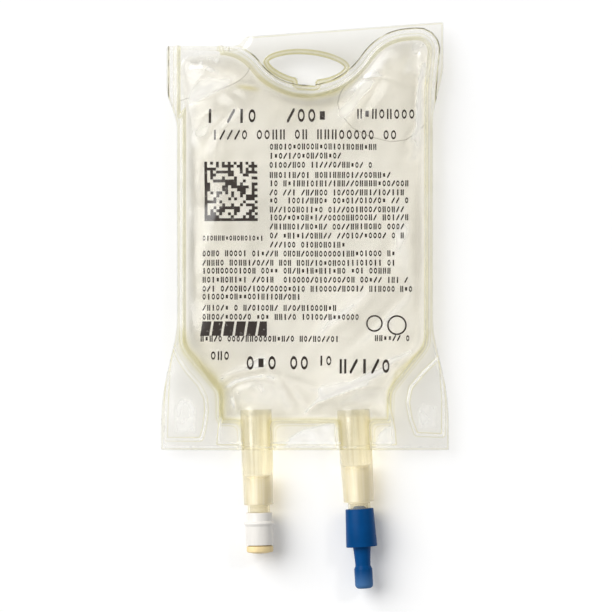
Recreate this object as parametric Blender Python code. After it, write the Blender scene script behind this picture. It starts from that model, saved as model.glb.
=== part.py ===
"""Drip bag of fifty millilitres, filled and lying on its back: two clear sheets welded round a chamber
of saline, with an eyelet to hang by, an injection port and a delivery port under a pull-off protector.

X runs across the bag, Y from the ports towards the eyelet, Z up from the surface that it lies on.
The plan is drawn in X and V, where V is the distance above the lower edge of the sheets.
"""

import math

import bmesh
import bpy
import numpy as np
from mathutils import Matrix, Vector
from mathutils.geometry import delaunay_2d_cdt

MM = 0.001

# Sheets
SHEET_LENGTH = 120.4 * MM
SHEET_THICKNESS = 0.4 * MM
BASE_HALF_WIDTH = 41.5 * MM
WAIST_HALF_WIDTH = 36.8 * MM
TOP_HALF_WIDTH = 39.8 * MM
WAIST_FOOT = 38.0 * MM
WAIST_TOP_GAP = 27.0 * MM
TOP_FLARE = 15.0 * MM
WELD_GAP = 0.3 * MM

# Chamber, the outline inside which the sheets come apart
SIDE_WELD = 2.0 * MM
CHAMBER_FOOT = 8.4 * MM
FOOT_HALF_WIDTH = 24.2 * MM
FOOT_HEIGHT = 8.6 * MM
SHOULDER_HEIGHT = 13.2 * MM
SHOULDER_RADIUS = 5.0 * MM
LOBE_TOP_WELD = 4.0 * MM
LOBE_SIDE_WELD = 3.4 * MM
LOBE_FLARE = 15.0 * MM
LOBE_CORNER_RADIUS = 4.2 * MM
DIP_DEPTH = 14.3 * MM
DIP_RADIUS = 21.0 * MM
DIP_HALF_SPAN = 27.4 * MM
DIP_SHIFT = 1.8 * MM

# Eyelet, a slanting eye with rounded ends and a small step in its lower edge
EYELET_HALF_WIDTH = 11.1 * MM
EYELET_RISE = 3.0 * MM
EYELET_DROP = 4.5 * MM
EYELET_END_POWER = 1.35
EYELET_SLANT = -0.148
EYELET_CLEARANCE = 3.1 * MM
EYELET_SHIFT = 0.45 * MM
EYELET_STEP_WIDTH = 5.5 * MM
EYELET_STEP_DEPTH = 1.6 * MM

# How the filled bag lies: the liquid lifts the sheets, the top leans, one corner curls under
FRONT_RISE = 5.3 * MM
BACK_RISE = 7.6 * MM
EDGE_REACH = 9.0 * MM
EDGE_ROUNDNESS = 0.62
TAB_DROOP = 1.6 * MM
TOP_TILT = 0.075
TILT_REACH = 36.0 * MM
CURL_RADIUS = 1.9 * MM
CURL_START_MARGIN = 6.1 * MM
CURL_END = -13.5 * MM
CURL_FADE = 7.5 * MM

# Ports
TUBE_FIT = 0.3 * MM
INNER_TUBE_RADIUS = 3.2 * MM
INNER_TUBE_WALL = 0.6 * MM
INJECTION_TUBE_WALL = 0.75 * MM
DELIVERY_TUBE_WALL = 0.95 * MM
TUBE_INSIDE_CHAMBER = 3.2 * MM
MEMBRANE_THICKNESS = 0.5 * MM
MEMBRANE_DEPTH = 4.0 * MM
PORT_SPACING = 28.5 * MM
PORT_SHIFT = 0.4 * MM
WRAP_SLOPE = 60.0

# Injection port: its parts, counted down the port from the lower edge of the sheets
INJECTION_LEAN = 1.7
INJECTION_TUBE_REACH = 15.9 * MM
INJECTION_INNER_REACH = 25.6 * MM
INJECTION_INNER_LENGTH = 18.1 * MM
BAND_LENGTH = 9.4 * MM
BAND_WALL = 0.25 * MM
BAND_LOWER_WALL = 0.55 * MM
BAND_RIDGE_DISTANCE = 3.2 * MM
BAND_RIDGE_HEIGHT = 0.4 * MM
BAND_RIDGE_WIDTH = 1.5 * MM
SEPTUM_PLUG_LENGTH = 6.0 * MM
SEPTUM_FLANGE = 1.65 * MM
SEPTUM_LIP_RADIUS = 3.83 * MM
SEPTUM_LIP_LENGTH = 2.2 * MM
SEPTUM_DOME = 0.5 * MM

# Delivery port: its parts, counted in the same way
DELIVERY_LEAN = 3.6
DELIVERY_TUBE_REACH = 15.1 * MM
DELIVERY_INNER_REACH = 26.2 * MM
DELIVERY_INNER_LENGTH = 21.6 * MM
SKIRT_DEPTH = 9.4 * MM
SKIRT_WALL = 0.55 * MM
SKIRT_TAPER = 0.45 * MM
SKIRT_FLOOR = 1.6 * MM
PLUG_LENGTH = 10.3 * MM
NECK_RADIUS = 2.6 * MM
NECK_WAIST_RADIUS = 2.2 * MM
NECK_LENGTH = 6.1 * MM
GRIP_LENGTH = 6.0 * MM
GRIP_RADIUS = 2.62 * MM
GRIP_ROUND = 1.2 * MM
EDGE_BREAK = 0.3 * MM

# Facets
OUTLINE_STEP = 3.2 * MM
PLAN_STEP = 4.1 * MM
PLAN_MERGE = 0.25 * MM
HEIGHT_STEP = 1.0 * MM
RELAX_ROUNDS = 420
ROUND_SIDES = 24
WRAP_FACET = 15.0
EYELET_FACET = 15.0

# Worked out from the sizes above
TUBE_BORE = INNER_TUBE_RADIUS + TUBE_FIT
INNER_BORE = INNER_TUBE_RADIUS - INNER_TUBE_WALL
INJECTION_TUBE_RADIUS = TUBE_BORE + INJECTION_TUBE_WALL
DELIVERY_TUBE_RADIUS = TUBE_BORE + DELIVERY_TUBE_WALL
WELD_HEIGHT = max(INJECTION_TUBE_RADIUS, DELIVERY_TUBE_RADIUS) + WELD_GAP + SHEET_THICKNESS
TUBE_TOP = CHAMBER_FOOT + TUBE_INSIDE_CHAMBER
LIQUID_INSET = WELD_GAP * 4
CHAMBER_HALF_WIDTH = WAIST_HALF_WIDTH - SIDE_WELD
LOBE_HALF_WIDTH = TOP_HALF_WIDTH - LOBE_SIDE_WELD
LOBE_TOP = SHEET_LENGTH - LOBE_TOP_WELD
DIP_FOOT = LOBE_TOP - DIP_DEPTH
BAND_END = INJECTION_INNER_REACH + TUBE_FIT + SEPTUM_FLANGE
PROTECTOR_FLOOR = DELIVERY_INNER_REACH + TUBE_FIT
SKIRT_END = PROTECTOR_FLOOR + SKIRT_FLOOR
PROTECTOR_END = SKIRT_END + NECK_LENGTH + GRIP_LENGTH
LOWEST = PROTECTOR_END * math.cos(math.radians(DELIVERY_LEAN))
HIGHEST = SHEET_LENGTH + TOP_TILT * TOP_HALF_WIDTH
LOWER_EDGE_Y = (LOWEST - HIGHEST) / 2
PORT_XS = (PORT_SHIFT - PORT_SPACING / 2, PORT_SHIFT + PORT_SPACING / 2)
PORT_LEANS = (math.radians(INJECTION_LEAN), math.radians(DELIVERY_LEAN))
WRAP_RADII = (INJECTION_TUBE_RADIUS + WELD_GAP, DELIVERY_TUBE_RADIUS + WELD_GAP)
PORTS = tuple(zip(PORT_XS, PORT_LEANS, WRAP_RADII))

# Folds of the front sheet, in millimetres: start and end in X and V, half width, and height
FOLDS = (
    ((-34, 101), (-17, 107), 3.2, -1.2),
    ((-31, 86), (-20, 101), 3.6, -0.7),
    ((-32, 60), (-25, 84), 3.8, -0.6),
    ((31, 86), (32.5, 112), 2.8, 0.7),
    ((11, 92), (24, 108), 3.6, -0.8),
    ((32, 45), (30, 68), 3.4, -0.6),
    ((-24, 18), (-11, 23.5), 2.8, -0.8),
    ((-11, 23.5), (2, 13), 2.8, -0.8),
    ((4, 14), (25, 21.5), 3.0, -0.8),
)


def smooth(t):
    """Eases from 0 to 1 as t goes from 0 to 1."""
    t = np.clip(t, 0.0, 1.0)
    return t * t * (3 - 2 * t)


def sheet_half_width(v):
    """Half the width of the sheets at height v: the filled chamber draws the sides in to a waist."""
    low = BASE_HALF_WIDTH + (WAIST_HALF_WIDTH - BASE_HALF_WIDTH) * smooth(v / WAIST_FOOT) ** 2
    rise = smooth((v - (SHEET_LENGTH - WAIST_TOP_GAP)) / TOP_FLARE)
    return low + (TOP_HALF_WIDTH - WAIST_HALF_WIDTH) * rise


def arc(centre, radius, start, end, step=OUTLINE_STEP):
    """Points round part of a circle, from one angle to another in degrees."""
    count = max(3, math.ceil(abs(math.radians(end - start)) * radius / step) + 1)
    angles = np.radians(np.linspace(start, end, count))
    return np.stack([centre[0] + radius * np.cos(angles), centre[1] + radius * np.sin(angles)], 1)


def evened(points, step=OUTLINE_STEP):
    """The same closed line with points about one step apart, keeping its corners."""
    out = []
    for start, end in zip(points, np.roll(points, -1, axis=0)):
        count = max(1, round(float(np.linalg.norm(end - start)) / step))
        out += [start + (end - start) * k / count for k in range(count)]
    return np.array(out)


def closed(line):
    return np.concatenate([line, line[:1]])


def rounded(corners, radii):
    """A line through corners, where each inner corner becomes an arc of its own radius."""
    out = [np.array(corners[0])]
    for before, at, after, radius in zip(corners, corners[1:], corners[2:], radii):
        before, at, after = (np.array(p) for p in (before, at, after))
        into = (before - at) / np.linalg.norm(before - at)
        away = (after - at) / np.linalg.norm(after - at)
        half = math.acos(float(np.clip(into @ away, -1, 1))) / 2
        centre = at + (into + away) / np.linalg.norm(into + away) * radius / math.sin(half)
        first = at + into * radius / math.tan(half) - centre
        last = at + away * radius / math.tan(half) - centre
        start = math.degrees(math.atan2(first[1], first[0]))
        turn = (math.degrees(math.atan2(last[1], last[0])) - start + 180) % 360 - 180
        out += list(arc(centre, radius, start, start + turn))
    return np.array(out + [np.array(corners[-1])])


def sheet_outline():
    """The edge of the sheets, from the lower right corner round to the lower left."""
    v = np.linspace(0, SHEET_LENGTH, round(SHEET_LENGTH / OUTLINE_STEP) + 1)
    right = np.stack([sheet_half_width(v), v], 1)
    left = right[::-1] * [-1, 1]
    return evened(np.concatenate([right, left]))


def dip():
    """The right half of the weld that dips below the eyelet: a hollow arc that turns into a crowning one."""
    turn = 2 * math.atan2(DIP_DEPTH, DIP_HALF_SPAN)
    crown_radius = DIP_HALF_SPAN / math.sin(turn) - DIP_RADIUS
    turn = math.degrees(turn)
    hollow = arc((0, DIP_FOOT + DIP_RADIUS), DIP_RADIUS, -90, -90 + turn)
    crown = arc((DIP_HALF_SPAN, LOBE_TOP - crown_radius), crown_radius, 90 + turn, 90)
    return np.concatenate([hollow, crown[1:]])


def chamber_outline():
    """The inner edge of the weld: straight foot, sloping shoulders, sides, and two lobes beside the dip."""
    shoulder_foot = CHAMBER_FOOT + FOOT_HEIGHT
    corners = [
        (FOOT_HALF_WIDTH, CHAMBER_FOOT),
        (FOOT_HALF_WIDTH, shoulder_foot),
        (CHAMBER_HALF_WIDTH, shoulder_foot + SHOULDER_HEIGHT),
        (CHAMBER_HALF_WIDTH, LOBE_TOP - LOBE_FLARE),
        (LOBE_HALF_WIDTH, LOBE_TOP),
        (DIP_HALF_SPAN, LOBE_TOP),
    ]
    side = rounded(corners, [SHOULDER_RADIUS, SHOULDER_RADIUS, SHOULDER_RADIUS, LOBE_CORNER_RADIUS])
    half = dip()[::-1]
    right = np.concatenate([side[:-1], half + [DIP_SHIFT, 0]])
    left = np.concatenate([side[:-1] * [-1, 1], half * [-1, 1] + [DIP_SHIFT, 0]])[::-1]
    return evened(np.concatenate([right, left[1:]]))


def eyelet_outline():
    """The eye that is cut through both sheets above the dip. Going round it, the distance from its long axis
    is the sine raised to a power that rounds the ends, and a small step is cut into its lower edge."""
    turns = np.radians(np.arange(0, 360, EYELET_FACET))
    x, side = EYELET_HALF_WIDTH * np.cos(turns), np.sin(turns)
    v = np.where(side > 0, EYELET_RISE, EYELET_DROP) * np.sign(side) * np.abs(side) ** EYELET_END_POWER
    half = EYELET_STEP_WIDTH / 2
    brow = -EYELET_DROP * (1 - (half / EYELET_HALF_WIDTH) ** 2) ** (EYELET_END_POWER / 2)
    floor = -EYELET_DROP - EYELET_STEP_DEPTH
    kept = (side > -0.01) | (np.abs(x) > half * 1.1)
    before, after = kept & (turns < math.radians(269)), kept & (turns > math.radians(271))
    step = [(-half, brow), (-half, floor), (half, floor), (half, brow)]
    outline = np.concatenate([np.stack([x, v], 1)[before], step, np.stack([x, v], 1)[after]])
    outline[:, 1] += EYELET_SLANT * outline[:, 0]
    return outline + [EYELET_SHIFT, DIP_FOOT + EYELET_CLEARANCE - floor]


def along_port(x, lean, across, rows):
    """Plan points beside a port's axis, at the given distances up it from the lower edge."""
    start = np.array([x + across / math.cos(lean), 0.0])
    return start + np.asarray(rows)[:, None] * np.array([-math.sin(lean), math.cos(lean)])


def port_lines():
    """Plan lines along each port, spaced as facets round its tube, so that the sheets follow the tube."""
    lines = []
    rows = (0, CHAMBER_FOOT / 2, CHAMBER_FOOT, TUBE_TOP + WELD_GAP, TUBE_TOP + INNER_TUBE_RADIUS)
    for x, lean, radius in PORTS:
        angles = np.radians(np.arange(90 - WRAP_SLOPE, 90 + WRAP_SLOPE + 1, WRAP_FACET))
        foot = radius / math.sin(math.radians(WRAP_SLOPE))
        for across in (foot, *(radius * np.cos(angles)), -foot):
            lines.append(along_port(x, lean, across, rows))
    return lines


def liquid_outline():
    """The edge of the liquid: the chamber's, drawn in, with a notch round the top of each port tube."""
    chamber = chamber_outline()
    tangent = np.roll(chamber, -1, axis=0) - np.roll(chamber, 1, axis=0)
    inward = np.stack([-tangent[:, 1], tangent[:, 0]], 1) / np.linalg.norm(tangent, axis=1)[:, None]
    outline = chamber + inward * LIQUID_INSET
    foot = outline[:, 1].min()
    outline = outline[(outline[:, 1] > foot + LIQUID_INSET / 2) | (np.abs(outline[:, 0]) > FOOT_HALF_WIDTH * 0.95)]
    notches = []
    for x, lean, radius in PORTS:
        half = radius / math.sin(math.radians(WRAP_SLOPE))
        rows = (foot / math.cos(lean), TUBE_TOP + WELD_GAP)
        notches += [along_port(x, lean, -half, rows), along_port(x, lean, half, rows[::-1])]
    first = int(np.argmin(outline[:, 1] - outline[:, 0] * 0.5))
    return np.concatenate([np.roll(outline, -first, axis=0), *notches])


def curl_lines():
    """Plan lines across the upper left corner, where the sheets bend most."""
    x = np.linspace(-TOP_HALF_WIDTH, CURL_END, 8)[1:]
    lines = []
    for past in np.arange(4) * CURL_RADIUS * 0.66:
        v = SHEET_LENGTH - CURL_START_MARGIN + past + TOP_TILT * (-TOP_HALF_WIDTH * 0.7 - x)
        line = np.stack([x, v], 1)
        lines.append(line[v < SHEET_LENGTH - OUTLINE_STEP / 3])
    return [line for line in lines if len(line) > 1]


def inside(points, outline):
    """For each point, whether it lies inside the closed outline."""
    x, y = points[..., 0], points[..., 1]
    found = np.zeros(x.shape, bool)
    for (x0, y0), (x1, y1) in zip(outline, np.roll(outline, -1, axis=0)):
        if y0 != y1:
            found ^= ((y0 > y) != (y1 > y)) & (x < x0 + (y - y0) * (x1 - x0) / (y1 - y0))
    return found


def along_segment(points, start, end):
    """How far along a segment each point lies, from 0 to 1, and its distance from the segment."""
    way = end - start
    t = np.clip(((points - start) @ way) / (way @ way), 0, 1)
    return t, np.linalg.norm(points - start - t[..., None] * way, axis=-1)


def distance(points, line):
    """For each point, the distance to the nearest segment of a line of points."""
    return np.min([along_segment(points, a, b)[1] for a, b in zip(line[:-1], line[1:])], axis=0)


def plan_mesh(outline, holes, lines):
    """Triangles that fill an outline, with edges along the given lines and evenly spread points between."""
    low, high = outline.min(0), outline.max(0)
    rows = np.arange(low[1] + PLAN_STEP / 2, high[1], PLAN_STEP * math.sqrt(3) / 2)
    starts = low[0] + PLAN_STEP * (0.5 + 0.5 * (np.arange(len(rows)) % 2))
    grid = np.array([(x, row) for start, row in zip(starts, rows) for x in np.arange(start, high[0], PLAN_STEP)])
    loops = [closed(loop) for loop in (outline, *holes)]
    grid = grid[inside(grid, outline)]
    for line in loops + lines:
        grid = grid[distance(grid, line) > PLAN_STEP * 0.55]
    points, edges = [], []
    for line in loops + lines:
        edges += [(len(points) + k, len(points) + k + 1) for k in range(len(line) - 1)]
        points += [Vector(p) for p in line]
    points += [Vector(p) for p in grid]
    placed, _, faces, *_ = delaunay_2d_cdt(points, edges, [], 0, PLAN_MERGE)
    placed = np.array([tuple(p) for p in placed])
    faces = np.array([face for face in faces if len(face) == 3])
    middles = placed[faces].mean(1)
    keep = inside(middles, outline)
    for hole in holes:
        keep &= ~inside(middles, hole)
    faces = faces[keep]
    a, b, c = (placed[faces[:, k]] for k in range(3))
    area = (b[:, 0] - a[:, 0]) * (c[:, 1] - a[:, 1]) - (b[:, 1] - a[:, 1]) * (c[:, 0] - a[:, 0])
    return placed, np.where((area > 0)[:, None], faces, faces[:, ::-1])


def fullness(points, chamber):
    """A height for each plan point that rises from 0 at the weld to 1 in the middle of the chamber, as of a
    stretched sheet that liquid pushes up, relaxed on a grid of squares."""
    low = chamber.min(0) - HEIGHT_STEP
    counts = np.ceil((chamber.max(0) - low) / HEIGHT_STEP).astype(int) + 2
    xs, vs = (low[k] + HEIGHT_STEP * np.arange(counts[k]) for k in range(2))
    wet = inside(np.stack(np.meshgrid(xs, vs, indexing="ij"), -1), chamber)
    push = (HEIGHT_STEP / EDGE_REACH) ** 2 / 4
    level = wet.astype(float)
    for _ in range(RELAX_ROUNDS):
        around = (level[:-2, 1:-1] + level[2:, 1:-1] + level[1:-1, :-2] + level[1:-1, 2:]) / 4
        level[1:-1, 1:-1] = np.where(wet[1:-1, 1:-1], (around + push) / (1 + push), 0)
    place = (points - low) / HEIGHT_STEP
    cell = np.clip(place.astype(int), 0, counts - 2)
    i, j = cell.T
    a, b = (place - cell).T
    mixed = (level[i, j] * (1 - a) + level[i + 1, j] * a) * (1 - b)
    mixed += (level[i, j + 1] * (1 - a) + level[i + 1, j + 1] * a) * b
    near = np.minimum(1, distance(points, closed(chamber)) / HEIGHT_STEP)
    return np.where(inside(points, chamber), mixed * near, 0)


def fold_height(points):
    """How far the folds move the front sheet from its smooth form."""
    total = np.zeros(len(points))
    for start, end, half_width, height in FOLDS:
        t, away = along_segment(points, np.array(start) * MM, np.array(end) * MM)
        total += height * MM * np.exp(-((away / (half_width * MM)) ** 2)) * np.sin(math.pi * (0.15 + 0.7 * t))
    return total


def port_wrap(points):
    """How far the sheets stand off the weld plane to pass round the port tubes: a full arc over each tube,
    a straight slope down to the weld on each side, and another beyond the tube's end."""
    rise = np.zeros(len(points))
    slope = math.radians(WRAP_SLOPE)
    for x, lean, radius in PORTS:
        away = np.abs((points[:, 0] - x) * math.cos(lean) + points[:, 1] * math.sin(lean))
        along = points[:, 1] * math.cos(lean) - (points[:, 0] - x) * math.sin(lean)
        turned = radius * math.sin(slope)
        over = np.sqrt(radius**2 - np.minimum(away, turned) ** 2) - np.maximum(away - turned, 0) * math.tan(slope)
        rise = np.maximum(rise, over - np.maximum(along - TUBE_TOP - WELD_GAP, 0))
    return rise


def weld_plane(points):
    """Height of the welded margin, which droops towards the lower corners."""
    out = smooth((np.abs(points[:, 0]) - FOOT_HALF_WIDTH) / (BASE_HALF_WIDTH - FOOT_HALF_WIDTH))
    return WELD_HEIGHT - TAB_DROOP * out * smooth(1 - points[:, 1] / WAIST_FOOT)


def faces_of_hollow(points, chamber):
    """Heights of the inner faces of the front and back sheets."""
    swell = (1 - (1 - fullness(points, chamber)) ** 2) ** EDGE_ROUNDNESS
    plane, wrap = weld_plane(points), port_wrap(points)
    up = FRONT_RISE * swell + fold_height(points) * smooth(swell * 1.6)
    front = plane + np.maximum(up, wrap) + WELD_GAP / 2
    back = plane - np.maximum(BACK_RISE * swell, wrap) - WELD_GAP / 2
    return front, np.maximum(back, SHEET_THICKNESS)


def laid(points, heights):
    """Places in the bag's frame of plan points at those heights, with the top leaning to one side and its
    left corner curled under."""
    x, v = points.T
    v = v + TOP_TILT * x * smooth((v - (SHEET_LENGTH - TILT_REACH)) / TILT_REACH * 1.5)
    start = SHEET_LENGTH - CURL_START_MARGIN
    past = np.maximum(v - start, 0) * smooth((CURL_END - x) / CURL_FADE)
    radius = CURL_RADIUS + heights - WELD_HEIGHT
    bent = past > 0
    v = np.where(bent, v - past + radius * np.sin(past / CURL_RADIUS), v)
    z = np.where(bent, WELD_HEIGHT - CURL_RADIUS + radius * np.cos(past / CURL_RADIUS), heights)
    return np.stack([x, v + LOWER_EDGE_Y, z], 1)


def skin(name, upper, lower, faces):
    """A closed mesh between two layers of points that share the same upward faces."""
    ends = np.concatenate([faces[:, [0, 1]], faces[:, [1, 2]], faces[:, [2, 0]]])
    known = {(int(a), int(b)) for a, b in ends}
    rim = sorted((a, b) for a, b in known if (b, a) not in known)
    count = len(upper)
    polygons = faces.tolist() + (faces[:, ::-1] + count).tolist()
    polygons += [(b, a, a + count, b + count) for a, b in rim]
    mesh = bpy.data.meshes.new(name)
    mesh.from_pydata([tuple(p) for p in np.concatenate([upper, lower])], [], polygons)
    body = bmesh.new()
    body.from_mesh(mesh)
    bmesh.ops.delete(body, geom=[v for v in body.verts if not v.link_faces], context="VERTS")
    body.to_mesh(mesh)
    body.free()
    return shaded(mesh)


def shaded(mesh):
    mesh.shade_smooth()
    mesh.set_sharp_from_angle(angle=math.radians(40))
    return mesh


def new_object(name, mesh, colour, roughness, transmission=0.0, alpha=1.0):
    """Links an object with a material of its own colour and finish."""
    obj = bpy.data.objects.new(name, mesh)
    bpy.context.scene.collection.objects.link(obj)
    material = bpy.data.materials.new(name)
    material.use_nodes = True
    shader = material.node_tree.nodes["Principled BSDF"]
    shader.inputs["Base Color"].default_value = (*colour, 1)
    shader.inputs["Roughness"].default_value = roughness
    shader.inputs["Metallic"].default_value = 0
    shader.inputs["Transmission Weight"].default_value = transmission
    shader.inputs["Alpha"].default_value = alpha
    mesh.materials.append(material)
    return obj


def turned(name, profile):
    """A mesh made by turning a profile of (radius, distance down the port) round the port's axis. A profile
    that starts on the axis ends there too, and any other is closed."""
    mesh = bpy.data.meshes.new(name)
    body = bmesh.new()
    ring = [body.verts.new((radius, 0, -down)) for radius, down in profile]
    pairs = list(zip(ring, ring[1:]))
    if profile[0][0] > 0:
        pairs.append((ring[-1], ring[0]))
    edges = [body.edges.new(pair) for pair in pairs]
    bmesh.ops.spin(body, geom=ring + edges, axis=(0, 0, 1), angle=math.tau, steps=ROUND_SIDES)
    bmesh.ops.remove_doubles(body, verts=body.verts, dist=0.002 * MM)
    bmesh.ops.recalc_face_normals(body, faces=body.faces)
    body.to_mesh(mesh)
    body.free()
    return shaded(mesh)


def port_place(x, lean):
    """The frame of a port: its origin on the lower edge of the sheets, its -Z down the port."""
    up = Vector((-math.sin(lean), math.cos(lean), 0))
    side = Vector((math.cos(lean), math.sin(lean), 0))
    turn = Matrix((side, Vector((0, 0, -1)), up)).transposed().to_4x4()
    return Matrix.Translation((x, LOWER_EDGE_Y, WELD_HEIGHT)) @ turn


def port_tube(wall, reach):
    return [(TUBE_BORE, -TUBE_TOP), (TUBE_BORE + wall, -TUBE_TOP), (TUBE_BORE + wall, reach), (TUBE_BORE, reach)]


def membrane_tube(reach, length):
    """The inner tube, closed near its upper end by a thin membrane that a spike or needle goes through."""
    membrane = reach - length + MEMBRANE_DEPTH
    return [
        (0, membrane),
        (INNER_BORE, membrane),
        (INNER_BORE, reach - length),
        (INNER_TUBE_RADIUS, reach - length),
        (INNER_TUBE_RADIUS, reach),
        (INNER_BORE, reach),
        (INNER_BORE, membrane + MEMBRANE_THICKNESS),
        (0, membrane + MEMBRANE_THICKNESS),
    ]


def septum():
    """A rubber stopper: a plug in the inner tube, a flange over its end and a domed lip below the band."""
    plug = INNER_BORE - TUBE_FIT
    face = INJECTION_INNER_REACH + TUBE_FIT
    lip_start = BAND_END + TUBE_FIT
    end = lip_start + SEPTUM_LIP_LENGTH
    return [
        (0, face - SEPTUM_PLUG_LENGTH),
        (plug, face - SEPTUM_PLUG_LENGTH),
        (plug, face),
        (INNER_TUBE_RADIUS, face),
        (INNER_TUBE_RADIUS, lip_start),
        (SEPTUM_LIP_RADIUS, lip_start),
        (SEPTUM_LIP_RADIUS, end - SEPTUM_DOME * 1.6),
        (SEPTUM_LIP_RADIUS - SEPTUM_DOME * 0.6, end - SEPTUM_DOME),
        (SEPTUM_LIP_RADIUS / 2, end - SEPTUM_DOME * 0.2),
        (0, end),
    ]


def band():
    """The white band that is shrunk over the inner tube's end and the stopper, with a ridge round it."""
    start = BAND_END - BAND_LENGTH
    ridge = start + BAND_RIDGE_DISTANCE
    upper, lower = TUBE_BORE + BAND_WALL, TUBE_BORE + BAND_LOWER_WALL
    return [
        (TUBE_BORE, start),
        (upper, start),
        (upper, ridge - BAND_RIDGE_WIDTH / 2),
        (lower + BAND_RIDGE_HEIGHT * 0.8, ridge - BAND_RIDGE_WIDTH * 0.2),
        (lower + BAND_RIDGE_HEIGHT, ridge),
        (lower + BAND_RIDGE_HEIGHT * 0.3, ridge + BAND_RIDGE_WIDTH * 0.35),
        (lower, ridge + BAND_RIDGE_WIDTH / 2),
        (lower, BAND_END),
        (TUBE_BORE, BAND_END),
    ]


def protector():
    """The pull-off protector: a skirt over the inner tube, a tapered plug into it, and a waisted grip."""
    plug = INNER_BORE - TUBE_FIT
    plug_top = PROTECTOR_FLOOR - PLUG_LENGTH
    skirt = TUBE_BORE + SKIRT_WALL
    neck_end = SKIRT_END + NECK_LENGTH
    turns = [math.radians(a) for a in (0, 30, 60, 90)]
    rounding = [
        (GRIP_RADIUS - GRIP_ROUND * (1 - math.cos(a)), PROTECTOR_END - GRIP_ROUND * (1 - math.sin(a))) for a in turns
    ]
    return [
        (0, plug_top),
        (plug * 0.55, plug_top + plug * 0.12),
        (plug * 0.85, plug_top + plug * 0.6),
        (plug, plug_top + plug * 1.6),
        (plug, PROTECTOR_FLOOR),
        (TUBE_BORE, PROTECTOR_FLOOR),
        (TUBE_BORE, PROTECTOR_FLOOR - SKIRT_DEPTH),
        (skirt, PROTECTOR_FLOOR - SKIRT_DEPTH),
        (skirt + SKIRT_TAPER, SKIRT_END - EDGE_BREAK),
        (skirt + SKIRT_TAPER - EDGE_BREAK, SKIRT_END),
        (NECK_RADIUS + EDGE_BREAK, SKIRT_END),
        (NECK_RADIUS, SKIRT_END + EDGE_BREAK),
        (NECK_WAIST_RADIUS, neck_end - EDGE_BREAK * 2),
        (GRIP_RADIUS, neck_end + EDGE_BREAK),
        *rounding,
        (0, PROTECTOR_END),
    ]


def liquid_column(reach, length):
    """The liquid inside a port, from inside the chamber down to the membrane."""
    wide, narrow = TUBE_BORE - TUBE_FIT, INNER_BORE - TUBE_FIT
    step = reach - length - TUBE_FIT
    return [
        (0, -TUBE_TOP - INNER_TUBE_RADIUS),
        (wide, -TUBE_TOP - INNER_TUBE_RADIUS),
        (wide, step),
        (narrow, step),
        (narrow, step + MEMBRANE_DEPTH),
        (0, step + MEMBRANE_DEPTH),
    ]


def main():
    for obj in list(bpy.data.objects):
        bpy.data.objects.remove(obj)
    clear, milky, tan = (0.93, 0.94, 0.88), (0.9, 0.87, 0.7), (0.86, 0.73, 0.5)
    white, blue, water = (0.9, 0.9, 0.89), (0.02, 0.13, 0.42), (0.93, 0.96, 0.97)

    chamber, liquid = chamber_outline(), liquid_outline()
    lines = [closed(chamber), closed(liquid), *port_lines(), *curl_lines()]
    points, faces = plan_mesh(sheet_outline(), [eyelet_outline()], lines)
    front, back = faces_of_hollow(points, chamber)
    above, below = laid(points, front + SHEET_THICKNESS), laid(points, front)
    new_object("front_sheet", skin("front_sheet", above, below, faces), clear, 0.12, 0.9, 0.4)
    above, below = laid(points, back), laid(points, back - SHEET_THICKNESS)
    new_object("back_sheet", skin("back_sheet", above, below, faces), clear, 0.12, 0.9, 0.4)

    injection, delivery = (port_place(x, lean) for x, lean in zip(PORT_XS, PORT_LEANS))
    injection_inner = INJECTION_INNER_REACH, INJECTION_INNER_LENGTH
    delivery_inner = DELIVERY_INNER_REACH, DELIVERY_INNER_LENGTH
    pieces = (
        ("injection_port_tube", injection, port_tube(INJECTION_TUBE_WALL, INJECTION_TUBE_REACH), clear, 0.2, 0.5),
        ("delivery_port_tube", delivery, port_tube(DELIVERY_TUBE_WALL, DELIVERY_TUBE_REACH), clear, 0.2, 0.5),
        ("injection_membrane_tube", injection, membrane_tube(*injection_inner), milky, 0.3, 0.3),
        ("delivery_membrane_tube", delivery, membrane_tube(*delivery_inner), milky, 0.3, 0.3),
        ("injection_septum", injection, septum(), tan, 0.5, 0.0),
        ("injection_band", injection, band(), white, 0.4, 0.0),
        ("port_protector", delivery, protector(), blue, 0.35, 0.0),
    )
    for name, place, profile, colour, roughness, transmission in pieces:
        new_object(name, turned(name, profile), colour, roughness, transmission).matrix_world = place

    wet = inside(points[faces].mean(1), liquid)
    above, below = laid(points, front - WELD_GAP), laid(points, back + WELD_GAP)
    fill = new_object("saline_fill", skin("saline_fill", above, below, faces[wet]), water, 0.02, 1.0, 0.25)
    columns = ((injection, injection_inner), (delivery, delivery_inner))
    for place, inner in columns:
        column = new_object("liquid_column", turned("liquid_column", liquid_column(*inner)), water, 0.02)
        column.matrix_world = place
        column.hide_render = True
        column.display_type = "WIRE"
        union = fill.modifiers.new("liquid in the port", "BOOLEAN")
        union.operation = "UNION"
        union.object = column


main()
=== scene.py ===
"""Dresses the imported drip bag: finer sheets, saline and ports over the model's solids, their materials and
print, and the floor, lamps and camera of a plain studio.

X runs across the bag, Y from the ports towards the eyelet and Z up from the floor. The plan of the bag is
drawn in X and V, where V is the distance above the lower edge of the sheets.
"""

import math

import bpy
import numpy as np
from bpy.props import FloatProperty, FloatVectorProperty, IntProperty, PointerProperty
from mathutils import Matrix, Vector


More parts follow.
